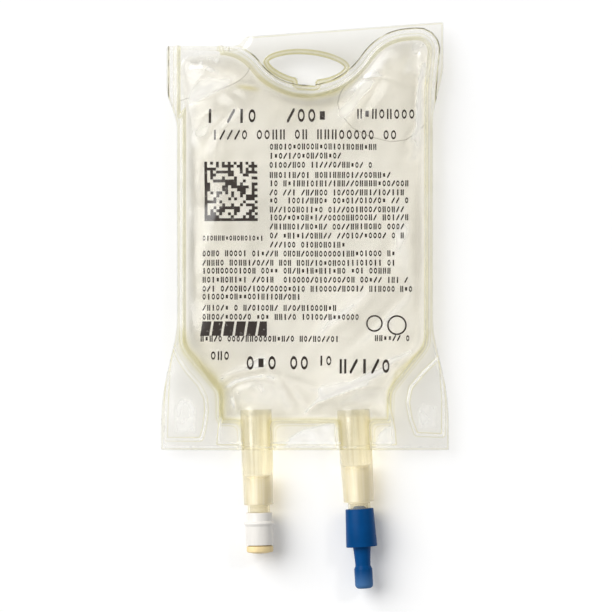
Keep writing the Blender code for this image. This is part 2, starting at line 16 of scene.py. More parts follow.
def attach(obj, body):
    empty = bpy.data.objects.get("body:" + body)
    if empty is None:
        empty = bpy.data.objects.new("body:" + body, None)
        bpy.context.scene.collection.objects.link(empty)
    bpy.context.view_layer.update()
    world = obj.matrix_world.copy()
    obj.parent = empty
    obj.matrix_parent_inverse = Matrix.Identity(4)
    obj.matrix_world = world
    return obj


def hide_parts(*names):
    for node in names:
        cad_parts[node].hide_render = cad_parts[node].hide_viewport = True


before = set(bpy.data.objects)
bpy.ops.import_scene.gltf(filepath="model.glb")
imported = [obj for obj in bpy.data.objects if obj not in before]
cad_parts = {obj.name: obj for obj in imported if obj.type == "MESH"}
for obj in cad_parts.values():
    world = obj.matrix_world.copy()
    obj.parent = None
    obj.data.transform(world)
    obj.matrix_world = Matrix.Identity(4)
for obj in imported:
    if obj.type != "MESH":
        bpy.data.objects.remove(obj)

bl_info = {
    "name": "Drip bag",
    "version": (1, 0, 0),
    "blender": (4, 5, 0),
    "location": "3D View > Sidebar > Drip bag",
    "description": "Makes the sheets, saline, ports and stage of a filled drip bag",
    "category": "Object",
}

MM = 0.001

# The sheets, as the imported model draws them
SHEET_LENGTH = 120.4 * MM
SHEET_THICKNESS = 0.4 * MM
BASE_HALF_WIDTH = 41.5 * MM
WAIST_HALF_WIDTH = 36.8 * MM
TOP_HALF_WIDTH = 39.8 * MM
WAIST_FOOT = 38.0 * MM
WAIST_TOP_GAP = 27.0 * MM
TOP_FLARE = 15.0 * MM
WELD_GAP = 0.3 * MM
SHEET_RIM_BULGE = 0.2 * MM

# The chamber between the welds
SIDE_WELD = 2.0 * MM
CHAMBER_FOOT = 8.4 * MM
FOOT_HALF_WIDTH = 24.2 * MM
FOOT_HEIGHT = 8.6 * MM
SHOULDER_HEIGHT = 13.2 * MM
SHOULDER_RADIUS = 5.0 * MM
LOBE_TOP_WELD = 4.0 * MM
LOBE_SIDE_WELD = 3.4 * MM
LOBE_FLARE = 15.0 * MM
LOBE_CORNER_RADIUS = 4.2 * MM
DIP_DEPTH = 14.3 * MM
DIP_RADIUS = 21.0 * MM
DIP_HALF_SPAN = 27.4 * MM
DIP_SHIFT = 1.8 * MM
LIQUID_MIDDLE = 55.0 * MM
LIQUID_EDGE_BULGE = 0.45 * MM
LIQUID_HALF_LEAST = 0.05 * MM

# The eyelet
EYELET_HALF_WIDTH = 11.1 * MM
EYELET_RISE = 3.0 * MM
EYELET_DROP = 4.5 * MM
EYELET_END_POWER = 1.35
EYELET_SLANT = -0.148
EYELET_CLEARANCE = 3.1 * MM
EYELET_SHIFT = 0.45 * MM
EYELET_STEP_WIDTH = 5.5 * MM
EYELET_STEP_DEPTH = 1.6 * MM

# How the bag lies
FRONT_RISE = 5.3 * MM
BACK_RISE = 7.6 * MM
EDGE_REACH = 9.0 * MM
EDGE_ROUNDNESS = 0.62
TAB_DROOP = 1.6 * MM
TOP_TILT = 0.075
TILT_REACH = 36.0 * MM
CURL_RADIUS = 1.9 * MM
CURL_START_MARGIN = 6.1 * MM
CURL_END = -13.5 * MM
CURL_FADE = 7.5 * MM

# The ports
TUBE_FIT = 0.3 * MM
INNER_TUBE_RADIUS = 3.2 * MM
INNER_TUBE_WALL = 0.6 * MM
INJECTION_TUBE_WALL = 0.75 * MM
DELIVERY_TUBE_WALL = 0.95 * MM
TUBE_INSIDE_CHAMBER = 3.2 * MM
TUBE_FLARE = 0.3 * MM
MEMBRANE_THICKNESS = 0.5 * MM
MEMBRANE_DEPTH = 4.0 * MM
PORT_SPACING = 28.5 * MM
PORT_SHIFT = 0.4 * MM
WRAP_SLOPE = 60.0
INJECTION_LEAN = 1.7
INJECTION_TUBE_REACH = 15.9 * MM
INJECTION_INNER_REACH = 25.6 * MM
INJECTION_INNER_LENGTH = 18.1 * MM
BAND_LENGTH = 9.4 * MM
BAND_WALL = 0.25 * MM
BAND_LOWER_WALL = 0.55 * MM
BAND_RIDGE_DISTANCE = 3.2 * MM
BAND_RIDGE_HEIGHT = 0.4 * MM
BAND_RIDGE_WIDTH = 1.5 * MM
BAND_ROUND = 0.12 * MM
SEPTUM_PLUG_LENGTH = 6.0 * MM
SEPTUM_FLANGE = 1.65 * MM
SEPTUM_LIP_RADIUS = 3.83 * MM
SEPTUM_LIP_LENGTH = 2.2 * MM
SEPTUM_DOME = 0.5 * MM
SEPTUM_ROUND = 0.45 * MM
DELIVERY_LEAN = 3.6
DELIVERY_TUBE_REACH = 15.1 * MM
DELIVERY_INNER_REACH = 26.2 * MM
DELIVERY_INNER_LENGTH = 21.6 * MM
SKIRT_DEPTH = 9.4 * MM
SKIRT_WALL = 0.55 * MM
SKIRT_TAPER = 0.45 * MM
SKIRT_FLOOR = 1.6 * MM
PLUG_LENGTH = 10.3 * MM
NECK_RADIUS = 2.6 * MM
NECK_WAIST_RADIUS = 2.2 * MM
NECK_LENGTH = 6.1 * MM
GRIP_LENGTH = 6.0 * MM
GRIP_RADIUS = 2.62 * MM
GRIP_ROUND = 1.2 * MM
NECK_REST = 0.6 * MM

# Worked out from the sizes above
TUBE_BORE = INNER_TUBE_RADIUS + TUBE_FIT
INNER_BORE = INNER_TUBE_RADIUS - INNER_TUBE_WALL
INJECTION_TUBE_RADIUS = TUBE_BORE + INJECTION_TUBE_WALL
DELIVERY_TUBE_RADIUS = TUBE_BORE + DELIVERY_TUBE_WALL
WELD_HEIGHT = max(INJECTION_TUBE_RADIUS, DELIVERY_TUBE_RADIUS) + WELD_GAP + SHEET_THICKNESS
TUBE_TOP = CHAMBER_FOOT + TUBE_INSIDE_CHAMBER
CHAMBER_HALF_WIDTH = WAIST_HALF_WIDTH - SIDE_WELD
LOBE_HALF_WIDTH = TOP_HALF_WIDTH - LOBE_SIDE_WELD
LOBE_TOP = SHEET_LENGTH - LOBE_TOP_WELD
DIP_FOOT = LOBE_TOP - DIP_DEPTH
BAND_END = INJECTION_INNER_REACH + TUBE_FIT + SEPTUM_FLANGE
PROTECTOR_FLOOR = DELIVERY_INNER_REACH + TUBE_FIT
SKIRT_END = PROTECTOR_FLOOR + SKIRT_FLOOR
PROTECTOR_END = SKIRT_END + NECK_LENGTH + GRIP_LENGTH
LOWEST = PROTECTOR_END * math.cos(math.radians(DELIVERY_LEAN))
HIGHEST = SHEET_LENGTH + TOP_TILT * TOP_HALF_WIDTH
LOWER_EDGE_Y = (LOWEST - HIGHEST) / 2
PORT_XS = (PORT_SHIFT - PORT_SPACING / 2, PORT_SHIFT + PORT_SPACING / 2)
PORT_LEANS = (math.radians(INJECTION_LEAN), math.radians(DELIVERY_LEAN))
WRAP_RADII = (INJECTION_TUBE_RADIUS + WELD_GAP, DELIVERY_TUBE_RADIUS + WELD_GAP)
PORTS = tuple(zip(PORT_XS, PORT_LEANS, WRAP_RADII))

# Each port's name, outer radius, reach of its clear tube, and start and reach of its milky tube
PORT_SIZES = (
    (
        "injection", INJECTION_TUBE_RADIUS, INJECTION_TUBE_REACH,
        INJECTION_INNER_REACH - INJECTION_INNER_LENGTH, INJECTION_INNER_REACH,
    ),
    (
        "delivery", DELIVERY_TUBE_RADIUS, DELIVERY_TUBE_REACH,
        DELIVERY_INNER_REACH - DELIVERY_INNER_LENGTH, DELIVERY_INNER_REACH,
    ),
)

# How finely lines and heights are worked out
OUTLINE_STEP = 1.5 * MM
EYELET_STEP = 1.0 * MM
EYELET_CUT_STEP = 0.4 * MM
LIQUID_STEP = 0.25 * MM
SLOPE_STEP = 0.35 * MM
RELAX_CELL = 0.5 * MM
RELAX_ROUNDS = 1680
RING_CROWDING = 1.7
WAVES = 9

# The model's own folds of the front sheet, in millimetres: a line in X and V, half width, height
FOLDS = (
    (((-34, 101), (-17, 107)), 3.2, -1.2),
    (((-31, 86), (-20, 101)), 3.6, -0.7),
    (((-32, 60), (-25, 84)), 3.8, -0.6),
    (((31, 86), (32.5, 112)), 2.8, 0.7),
    (((11, 92), (24, 108)), 3.6, -0.8),
    (((32, 45), (30, 68)), 3.4, -0.6),
    (((-24, 18), (-11, 23.5)), 2.8, -0.8),
    (((-11, 23.5), (2, 13)), 2.8, -0.8),
    (((4, 14), (25, 21.5)), 3.0, -0.8),
)
FOLD_REST = 0.15

# Finer creases of the front sheet, in millimetres: a line in X and V, half width, height
CREASES = (
    (((36.5, 111), (34.8, 110), (32.8, 105), (32.2, 99), (32.2, 93), (29.3, 88.8)), 1.1, 0.42),
    (((15.7, 106.2), (20.3, 106.4), (24.4, 105.5), (30.4, 102.7)), 0.6, -0.22),
    (((-19.1, 107.6), (-14.2, 106.6)), 0.6, 0.3),
    (((-17.1, 98.5), (-20.9, 95.5), (-24.9, 92.4), (-25.5, 86.5)), 1.5, 0.42),
    (((-24.9, 105), (-21.5, 102.6), (-17.7, 98.6)), 1.1, 0.32),
    (((-33.9, 86.8), (-33.3, 69.3), (-34.5, 46.1)), 1.7, -0.36),
    (((-23.5, 18.3), (-20, 20.6), (-16.5, 21.5), (-11.9, 22.3), (-7.2, 21.5)), 1.0, 0.56),
    (((-7.2, 21.5), (-3.8, 17.1), (0, 11.6)), 1.1, 0.55),
    (((-20.9, 18.3), (-20, 14.2), (-19.1, 10.1)), 0.9, -0.36),
    (((-6.1, 21.2), (-1.4, 20), (3.8, 17.7), (4.6, 15.1)), 1.1, 0.5),
    (((24.1, 18), (18.3, 18.3), (13, 17.1), (4.3, 13.9), (0.6, 10.7)), 0.9, -0.34),
    (((24.1, 24.6), (17.7, 22.3), (13, 19.7)), 1.3, 0.34),
    (((33.3, 28.7), (28.7, 26.4), (24.1, 24.6)), 1.2, -0.3),
    (((34.5, 86.6), (33.6, 72.2), (34.2, 54.8), (33.3, 37.4)), 1.4, 0.3),
    (((-34.5, 43.2), (-31.6, 34.5), (-26.4, 28.7)), 1.5, 0.34),
    (((-18.8, 86.7), (-14.5, 72.2), (-17.1, 54.8)), 2.6, -0.26),
    (((7.2, 86.7), (11.6, 63.5), (9.6, 43.2)), 2.8, -0.24),
    (((22, 80), (26, 62), (20, 44)), 2.4, 0.24),
    (((2.5, 30), (12, 38), (22.5, 47)), 2.4, -0.42),
    (((12, 29), (20, 36), (29, 45)), 2.0, 0.36),
    (((-6, 31), (-14, 40), (-20, 52)), 2.6, 0.3),
    (((-34, 116.6), (-30, 117), (-26, 115.2)), 0.7, 0.24),
    (((-35, 113.6), (-29, 113.4), (-24, 111)), 0.8, 0.24),
)
CREASE_REST = 0.08

# Low waves under the creases: length in millimetres, seed, height in millimetres
LOW_WAVES = ((17, 3, 0.42), (7, 5, 0.1))

# Other waves over the plan: length in millimetres, seed
MARGIN_WAVE = (12, 11)
SHADE_WAVE = (9, 21)
HAZE_WAVE = (2.6, 8)
MILK_WAVE = (4.5, 31)

# Relief of the outer faces, the beads as height, distance inside the seam or the eyelet, and reach
SEAM_BEAD = (0.22 * MM, -0.5 * MM, 0.6 * MM)
EYELET_BEAD = (0.3 * MM, 0.6 * MM, 0.5 * MM)
PILLOW_HEIGHT = 0.4 * MM
PILLOW_REACH = 2.2 * MM
MARGIN_WAVE_HEIGHT = 0.22

# Where the left lobe goes on into the curl, in millimetres in X and V
CURLED_LOBE = ((-36.4, 98), (-30, 106), (-24, 116.2), (-27, 127), (-36.4, 127))

# Edges of the air pockets under the front sheet, in millimetres in X and V
LEFT_AIR = (
    (-37.4, 102.8), (-35.7, 103.3), (-28.1, 104.9), (-24.9, 105.6), (-19.1, 107.6), (-15.9, 110.5),
    (-17.1, 115.5), (-21.2, 119), (-37.4, 120.3),
)
RIGHT_AIR = (
    (13, 106.1), (10.1, 102.3), (9.3, 99.6), (10.1, 96.5), (13.6, 92.5), (18.8, 90), (24.6, 88.6),
    (29.3, 89.1), (33.3, 91.9), (38, 96.3), (40.3, 104.2), (40.3, 118.5), (23.2, 119.8), (16.5, 111.6),
)

# Edges of the open pockets in the lower corners, in millimetres in X and V
LEFT_POCKET = (
    (-38.3, 29.3), (-39, 22.9), (-39.5, 14.2), (-39.8, 3.5), (-30.4, 3.5), (-29.6, 6.7), (-29, 11.3),
    (-29.3, 14.8), (-31, 18.3), (-34.5, 22.3), (-36.8, 25.8),
)
RIGHT_POCKET = (
    (38.6, 25.8), (34.5, 21.8), (31, 17.7), (30.2, 13.6), (31, 9), (32.5, 4.9), (39.5, 4.6),
    (39.5, 14.2), (39, 22.9),
)

# The weld lines of the lower margin, round the ports, in millimetres in X and V
FOOT_CELL = (
    (-24, 14), (-24.6, 9.9), (-25.2, 5.5), (-25.5, 1.4), (26.4, 1.4), (26.1, 5.5), (25.2, 10.1), (24.4, 14),
)

# Broad olive stretches of the weld, in millimetres: a line in X and V, half width, strength
DIP_BAND = (
    (-13, 108.2), (-10.2, 106.1), (-3.5, 102.5), (1.5, 101.5), (8.1, 102.4), (13.1, 104.6), (16.5, 107.6),
)
OLIVE_BANDS = (
    (((-35.7, 34), (-34.5, 28.7), (-30.5, 24.1), (-24.4, 17.9), (-23.9, 12.8), (-23.9, 9.5)), 1.7, 1.0),
    (((36, 34.5), (33.6, 28.7), (26.4, 22.3), (24.5, 16.5), (24.2, 11.3)), 0.5, 0.5),
    (DIP_BAND, 0.8, 0.7),
    (((-19.2, 106.3), (-13.6, 104.9)), 0.6, 0.75),
    (((-37.3, 96), (-37, 78), (-36.9, 60)), 0.7, 0.4),
    (((37.3, 92), (36.9, 70), (36.8, 50)), 0.8, 0.12),
)

# Milky patches of the film, partly its haze and partly painted highlights, in millimetres: corners in X and
# V, how far their edges fade, strength
MILKY_AND_HIGHLIGHT_PATCHES = (
    (((-6.4, 0.6), (-4.6, 3.8), (-0.6, 6.1), (3.8, 7.5), (9.0, 8.2), (9.2, 0.6)), 1.1, 0.6),
    (((19.4, 0.6), (21.2, 4.9), (22.9, 6.7), (25.2, 7.3), (25.8, 0.6)), 0.9, 0.5),
    (((-38, 4.4), (-38, 12.5), (-36, 15), (-33, 15), (-31.2, 12), (-31.2, 4.4)), 1.2, 0.4),
    (((32.6, 5.5), (32, 12), (34, 14), (38.4, 13), (38.6, 5.5)), 1.4, 0.25),
    (((-38.5, 103), (-29, 107), (-22, 112), (-24, 119), (-38.5, 119)), 4.0, 0.15),
    (((27, 106), (30, 117), (38, 118), (38, 102)), 3.0, 0.25),
    (((-24, 12), (-22, 19), (-14, 22), (-6, 21.5), (-2, 13), (-4, 10)), 3.5, 0.22),
    (((6, 12), (14, 18), (24, 19.5), (24, 12)), 3.0, 0.2),
    (((-31, 50), (-30, 92), (-24, 94), (-22, 60)), 3.5, 0.12),
)

# How far the seam runs inside a port's wall and how softly it turns there, the way to the key lamp in the
# plan, which the painted light follows, and the painted shade of the back faces
SEAM_BESIDE_PORT = 0.55 * MM
SEAM_BLEND = 2.2 * MM
TO_LAMP = (-0.8, 0.6)
BACK_PAINTED_SHADE = 0.06

# Colours that go with the ones in the settings
# The dark of the meniscus and weld lines, and of the painted shade on the beads
DARK_LINE_AND_SHADE_COLOUR = (0.36, 0.34, 0.28)
# The film's milky haze and its painted highlights
MILK_AND_HIGHLIGHT_COLOUR = (0.97, 0.965, 0.94)
WORN_INK_COLOUR = (0.03, 0.017, 0.01)
SOFT_TUBE_COLOURS = ((0.87, 0.84, 0.74), (0.81, 0.76, 0.61))
SHADOW_IN_CHAMBER = (0.9, 0.89, 0.87)
SHADOW_AT_INNER_TUBE = (0.68, 0.66, 0.63)
THROUGH_MILKY_TUBE = (0.985, 0.97, 0.91)
# Lighter blue of the painted sheen on the protector's grip
GRIP_SHEEN_BLUE = (0.07, 0.17, 0.35)

# The stage: the camera's film and its place in X and Y, the floor, and each lamp's name, the place that it
# shines from, its width as an angle and its share of the key strength
SENSOR_WIDTH = 36
CAMERA_SHIFT = (0.29 * MM, -0.13 * MM)
FLOOR_REACH = 4
FLOOR_LEVEL = -0.1 * MM
FLOOR_WHITE = (1, 1, 1, 1)
FLOOR_PALE = (0.8, 0.8, 0.8, 1)
LAMPS = (("key_lamp", (-0.6, 0.38, 0.64), 0.9, 1.0), ("glint_lamp", (0.75, 0.55, 0.9), 0.16, 0.1))

# How much the clear pieces bend light, and what a film mirrors head on
SALINE_BEND = 1.16
SALINE_EDGE_BEND = 1.01
TUBE_BEND = 1.1
FILM_MIRROR = 0.05


def smooth(t):
    """Eases from 0 to 1 as t goes from 0 to 1."""
    t = np.clip(t, 0.0, 1.0)
    return t * t * (3 - 2 * t)


def bell(away, reach):
    """A bell curve: the exponential of minus the square of the distance over its reach."""
    return np.exp(-((away / reach) ** 2))


def faded(share, rest):
    """How a line fades along it: half a wave of the sine, of which a rest is left at both ends."""
    return np.sin(math.pi * (rest + (1 - 2 * rest) * share))


def sheet_half_width(v):
    """Half the width of the sheets at height v."""
    low = BASE_HALF_WIDTH + (WAIST_HALF_WIDTH - BASE_HALF_WIDTH) * smooth(v / WAIST_FOOT) ** 2
    rise = smooth((v - (SHEET_LENGTH - WAIST_TOP_GAP)) / TOP_FLARE)
    return low + (TOP_HALF_WIDTH - WAIST_HALF_WIDTH) * rise


def arc(centre, radius, start, end, step):
    """Points round part of a circle, from one angle to another in degrees."""
    count = max(4, math.ceil(abs(math.radians(end - start)) * radius / step) + 1)
    angles = np.radians(np.linspace(start, end, count))
    return np.stack([centre[0] + radius * np.cos(angles), centre[1] + radius * np.sin(angles)], 1)


def rounded(corners, radii, step):
    """A line through corners, where each inner corner becomes an arc of its own radius, or of the largest
    one that its sides leave room for."""
    out = [np.array(corners[0], float)]
    for before, at, after, radius in zip(corners, corners[1:], corners[2:], radii):
        before, at, after = (np.array(p, float) for p in (before, at, after))
        room = min(np.linalg.norm(before - at), np.linalg.norm(after - at)) * 0.48
        into = (before - at) / np.linalg.norm(before - at)
        away = (after - at) / np.linalg.norm(after - at)
        half = math.acos(float(np.clip(into @ away, -1, 1))) / 2
        if math.pi / 2 - half < 0.02:
            out.append(at)
            continue
        radius = min(radius, room * math.tan(half))
        centre = at + (into + away) / np.linalg.norm(into + away) * radius / math.sin(half)
        first = at + into * radius / math.tan(half) - centre
        last = at + away * radius / math.tan(half) - centre
        start = math.degrees(math.atan2(first[1], first[0]))
        turn = (math.degrees(math.atan2(last[1], last[0])) - start + 180) % 360 - 180
        out += list(arc(centre, radius, start, start + turn, step))
    return np.array(out + [np.array(corners[-1], float)])


def evened(line, step):
    """A closed line again, with points one step apart along it."""
    line = np.concatenate([line, line[:1]])
    along = np.concatenate([[0], np.cumsum(np.linalg.norm(np.diff(line, axis=0), axis=1))])
    places = np.linspace(0, along[-1], round(along[-1] / step) + 1)[:-1]
    return np.stack([np.interp(places, along, line[:, k]) for k in range(2)], 1)


def way_out(outline):
    """The way out of a closed outline at each point: square to the line between its two neighbours."""
    along = np.roll(outline, -1, axis=0) - np.roll(outline, 1, axis=0)
    return np.stack([along[:, 1], -along[:, 0]], 1) / np.linalg.norm(along, axis=1)[:, None]


def dip(step):
    """The right half of the weld that dips below the eyelet: a hollow arc that turns into a crowning one."""
    turn = 2 * math.atan2(DIP_DEPTH, DIP_HALF_SPAN)
    crown_radius = DIP_HALF_SPAN / math.sin(turn) - DIP_RADIUS
    turn = math.degrees(turn)
    hollow = arc((0, DIP_FOOT + DIP_RADIUS), DIP_RADIUS, -90, -90 + turn, step)
    crown = arc((DIP_HALF_SPAN, LOBE_TOP - crown_radius), crown_radius, 90 + turn, 90, step)
    return np.concatenate([hollow, crown[1:]])


def chamber_outline(step):
    """The inner edge of the weld: straight foot, sloping shoulders, sides, and two lobes beside the dip."""
    shoulder_foot = CHAMBER_FOOT + FOOT_HEIGHT
    corners = [
        (FOOT_HALF_WIDTH, CHAMBER_FOOT),
        (FOOT_HALF_WIDTH, shoulder_foot),
        (CHAMBER_HALF_WIDTH, shoulder_foot + SHOULDER_HEIGHT),
        (CHAMBER_HALF_WIDTH, LOBE_TOP - LOBE_FLARE),
        (LOBE_HALF_WIDTH, LOBE_TOP),
        (DIP_HALF_SPAN, LOBE_TOP),
    ]
    radii = [SHOULDER_RADIUS, SHOULDER_RADIUS, SHOULDER_RADIUS, LOBE_CORNER_RADIUS]
    side = rounded(corners, radii, step)
    half = dip(step)[::-1]
    right = np.concatenate([side[:-1], half + [DIP_SHIFT, 0]])
    left = np.concatenate([side[:-1] * [-1, 1], half * [-1, 1] + [DIP_SHIFT, 0]])[::-1]
    return evened(np.concatenate([right, left[1:]]), step)


def eyelet_outline(step):
    """The eye that is cut through both sheets above the dip. Going round it, the distance from its long axis
    is the sine raised to a power that rounds the ends, and a small step is cut into its lower edge."""
    turns = np.radians(np.arange(0, 360, 1.5))
    x, side = EYELET_HALF_WIDTH * np.cos(turns), np.sin(turns)
    v = np.where(side > 0, EYELET_RISE, EYELET_DROP) * np.sign(side) * np.abs(side) ** EYELET_END_POWER
    half = EYELET_STEP_WIDTH / 2
    brow = -EYELET_DROP * (1 - (half / EYELET_HALF_WIDTH) ** 2) ** (EYELET_END_POWER / 2)
    floor = -EYELET_DROP - EYELET_STEP_DEPTH
    kept = (side > -0.01) | (np.abs(x) > half * 1.02)
    before, after = kept & (turns < math.radians(269)), kept & (turns > math.radians(271))
    corners = [(-half, brow), (-half, floor), (half, floor), (half, brow)]
    outline = np.concatenate([np.stack([x, v], 1)[before], corners, np.stack([x, v], 1)[after]])
    outline[:, 1] += EYELET_SLANT * outline[:, 0]
    return evened(outline + [EYELET_SHIFT, DIP_FOOT + EYELET_CLEARANCE - floor], step)


def beside_port(x, lean, across, rows):
    """Plan points beside a port's axis, at the given distances up it from the lower edge."""
    start = np.array([x + across / math.cos(lean), 0.0])
    return start + np.asarray(rows)[:, None] * np.array([-math.sin(lean), math.cos(lean)])


def liquid_outline(step):
    """The edge of the liquid: the chamber's, drawn in, with a notch round the top of each port tube, whose
    outer wall leans so that the whole edge can be seen from the middle of the liquid."""
    inset = WELD_GAP * 2
    chamber = chamber_outline(step)
    outline = chamber - way_out(chamber) * inset
    foot = CHAMBER_FOOT + inset
    kept = outline[:, 1] > foot + inset / 4
    first = int(np.argmin(np.where(kept, outline[:, 1] - outline[:, 0] * 0.5, 1)))
    outline, kept = np.roll(outline, -first, axis=0), np.roll(kept, -first)
    corner = FOOT_HALF_WIDTH - inset
    notches = []
    for x, lean, radius in PORTS:
        half = radius / math.sin(math.radians(WRAP_SLOPE))
        rows = np.array((foot / math.cos(lean), TUBE_TOP + WELD_GAP))
        left, right = beside_port(x, lean, -half, rows), beside_port(x, lean, half, rows)[::-1]
        reach = (LIQUID_MIDDLE - left[0, 1]) / (LIQUID_MIDDLE - left[1, 1]) * 1.01
        left[0, 0] = min(left[0, 0], left[1, 0] * reach)
        right[1, 0] = max(right[1, 0], right[0, 0] * reach)
        notches += [left, right]
    return evened(np.concatenate([outline[kept], [(-corner, foot)], *notches, [(corner, foot)]]), step)


def inside(points, outline):
    """For each point, whether it lies inside the closed outline."""
    x, y = points[..., 0], points[..., 1]
    found = np.zeros(x.shape, bool)
    for (x0, y0), (x1, y1) in zip(outline, np.roll(outline, -1, axis=0)):
        if y0 != y1:
            found ^= ((y0 > y) != (y1 > y)) & (x < x0 + (y - y0) * (x1 - x0) / (y1 - y0))
    return found


def along_line(points, line):
    """For each point, how far along the line its nearest place is, from 0 to 1, and its distance from it."""
    lengths = np.linalg.norm(np.diff(line, axis=0), axis=1)
    before = np.concatenate([[0], np.cumsum(lengths)])
    nearest = np.full(points.shape[:-1], np.inf)
    share = np.zeros(points.shape[:-1])
    for start, end, length, passed in zip(line[:-1], line[1:], lengths, before):
        t = np.clip(((points - start) @ (end - start)) / length**2, 0, 1)
        away = np.linalg.norm(points - start - t[..., None] * (end - start), axis=-1)
        share = np.where(away < nearest, (passed + t * length) / before[-1], share)
        nearest = np.minimum(nearest, away)
    return share, nearest


def distance(points, outline):
    """For each point, the distance to a closed outline, positive inside it."""
    away = along_line(points, np.concatenate([outline, outline[:1]]))[1]
    return np.where(inside(points, outline), away, -away)


def fullness(points, chamber, depth):
    """A height for each plan point that rises from 0 at the weld to 1 in the middle of the chamber, as of a
    stretched sheet that liquid pushes up, relaxed on a grid of squares."""
    cell = RELAX_CELL
    low = chamber.min(0) - 2 * cell
    counts = np.ceil((chamber.max(0) - low) / cell).astype(int) + 3
    xs, vs = (low[k] + cell * np.arange(counts[k]) for k in range(2))
    wet = inside(np.stack(np.meshgrid(xs, vs, indexing="ij"), -1), chamber)
    push = (cell / EDGE_REACH) ** 2 / 4
    level = wet.astype(float)
    for _ in range(RELAX_ROUNDS):
        around = (level[:-2, 1:-1] + level[2:, 1:-1] + level[1:-1, :-2] + level[1:-1, 2:]) / 4
        level[1:-1, 1:-1] = np.where(wet[1:-1, 1:-1], (around + push) / (1 + push), 0)
    place = (points - low) / cell
    square = np.clip(place.astype(int), 0, counts - 2)
    i, j = square[..., 0], square[..., 1]
    a, b = np.moveaxis(place - square, -1, 0)
    mixed = (level[i, j] * (1 - a) + level[i + 1, j] * a) * (1 - b)
    mixed += (level[i, j + 1] * (1 - a) + level[i + 1, j + 1] * a) * b
    return np.where(depth > 0, mixed * np.clip(depth / cell, 0, 1), 0)


def port_wrap(points):
    """How far the sheets stand off the weld plane round the port tubes: a full arc over each tube, a
    straight slope down to the weld on each side, and another beyond the tube's end."""
    rise = np.zeros(points.shape[:-1])
    slope = math.radians(WRAP_SLOPE)
    x, v = points[..., 0], points[..., 1]
    for port, lean, radius in PORTS:
        away = np.abs((x - port) * math.cos(lean) + v * math.sin(lean))
        along = v * math.cos(lean) - (x - port) * math.sin(lean)
        turned = radius * math.sin(slope)
        over = np.sqrt(radius**2 - np.minimum(away, turned) ** 2)
        over = over - np.maximum(away - turned, 0) * math.tan(slope)
        rise = np.maximum(rise, over - np.maximum(along - TUBE_TOP - WELD_GAP, 0))
    return rise


def ripple(points, wavelength, seed):
    """Waves over the plan: the mean of some sines, each with its own direction, length and start."""
    draw = np.random.default_rng(seed)
    total = np.zeros(points.shape[:-1])
    for _ in range(WAVES):
        turn, start = draw.uniform(0, math.tau, 2)
        length = wavelength * MM * draw.uniform(0.7, 1.5)
        total += np.sin((points @ [math.cos(turn), math.sin(turn)]) * math.tau / length + start)
    return total / WAVES


class Bag:
    """The heights of the sheets and the distances to their welds, worked out once for some plan points."""

    def __init__(self, points, depth=1.0):
        self.points = points
        edge = chamber_outline(OUTLINE_STEP)
        self.chamber = distance(points, edge)
        self.eyelet = -distance(points, eyelet_outline(EYELET_STEP))
        self.swell = (1 - (1 - fullness(points, edge, self.chamber)) ** 2) ** EDGE_ROUNDNESS
        pockets = [distance(points, np.array(line) * MM) for line in (LEFT_POCKET, RIGHT_POCKET)]
        self.pocket = np.maximum(*pockets)
        air = [distance(points, evened(np.array(line) * MM, 2 * MM)) for line in (LEFT_AIR, RIGHT_AIR)]
        self.air = np.maximum(*air)
        self.seam = self.seam_depth()
        self.detail = self.fine_folds() * depth
        self.front, self.back = self.inner_faces()

    @classmethod
    def near(cls, points):
        """The same bag for other points, with nothing worked out but the distance to the chamber's edge."""
        bag = cls.__new__(cls)
        bag.points = points
        bag.chamber = distance(points, chamber_outline(OUTLINE_STEP))
        return bag

    def ridges(self, lines, rest, total):
        """Adds a ridge along each line, which falls off as a bell curve across it and fades to its ends."""
        for line, half_width, height in lines:
            share, away = along_line(self.points, np.array(line) * MM)
            total = total + height * MM * bell(away, half_width * MM) * faded(share, rest)
        return total

    def fine_folds(self):
        """Height of the creases, on top of long low waves."""
        waves = [ripple(self.points, length, seed) * height * MM for length, seed, height in LOW_WAVES]
        return self.ridges(CREASES, CREASE_REST, sum(waves))

    def large_folds(self):
        """Height of the model's own folds."""
        return self.ridges(FOLDS, FOLD_REST, np.zeros(len(self.points)))

    def seam_depth(self):
        """Distance inside the seam that shows: the chamber's, carried on into the curl at the top left and
        down both sides of each port, with the corners between them eased."""
        depth = np.maximum(self.chamber, distance(self.points, np.array(CURLED_LOBE) * MM))
        x, v = self.points.T
        for port, lean, radius in PORTS:
            beside = radius - SEAM_BESIDE_PORT - np.abs((x - port) * math.cos(lean) + v * math.sin(lean))
            strip = np.minimum(beside, TUBE_TOP - v)
            blend = np.maximum(SEAM_BLEND - np.abs(depth - strip), 0)
            depth = np.maximum(depth, strip) + blend**2 / (4 * SEAM_BLEND)
        return depth

    def inner_faces(self):
        """Heights of the inner faces: the weld plane plus what liquid, folds and tubes push up or down."""
        x, v = self.points[..., 0], self.points[..., 1]
        out = smooth((np.abs(x) - FOOT_HALF_WIDTH) / (BASE_HALF_WIDTH - FOOT_HALF_WIDTH))
        plane = WELD_HEIGHT - TAB_DROOP * out * smooth(1 - v / WAIST_FOOT)
        wrap = port_wrap(self.points)
        folds = (self.large_folds() + self.detail) * smooth(self.swell * 1.6)
        front = plane + np.maximum(FRONT_RISE * self.swell + folds, wrap) + WELD_GAP / 2
        back = plane - np.maximum(BACK_RISE * self.swell, wrap) - WELD_GAP / 2
        return front, np.maximum(back, SHEET_THICKNESS)


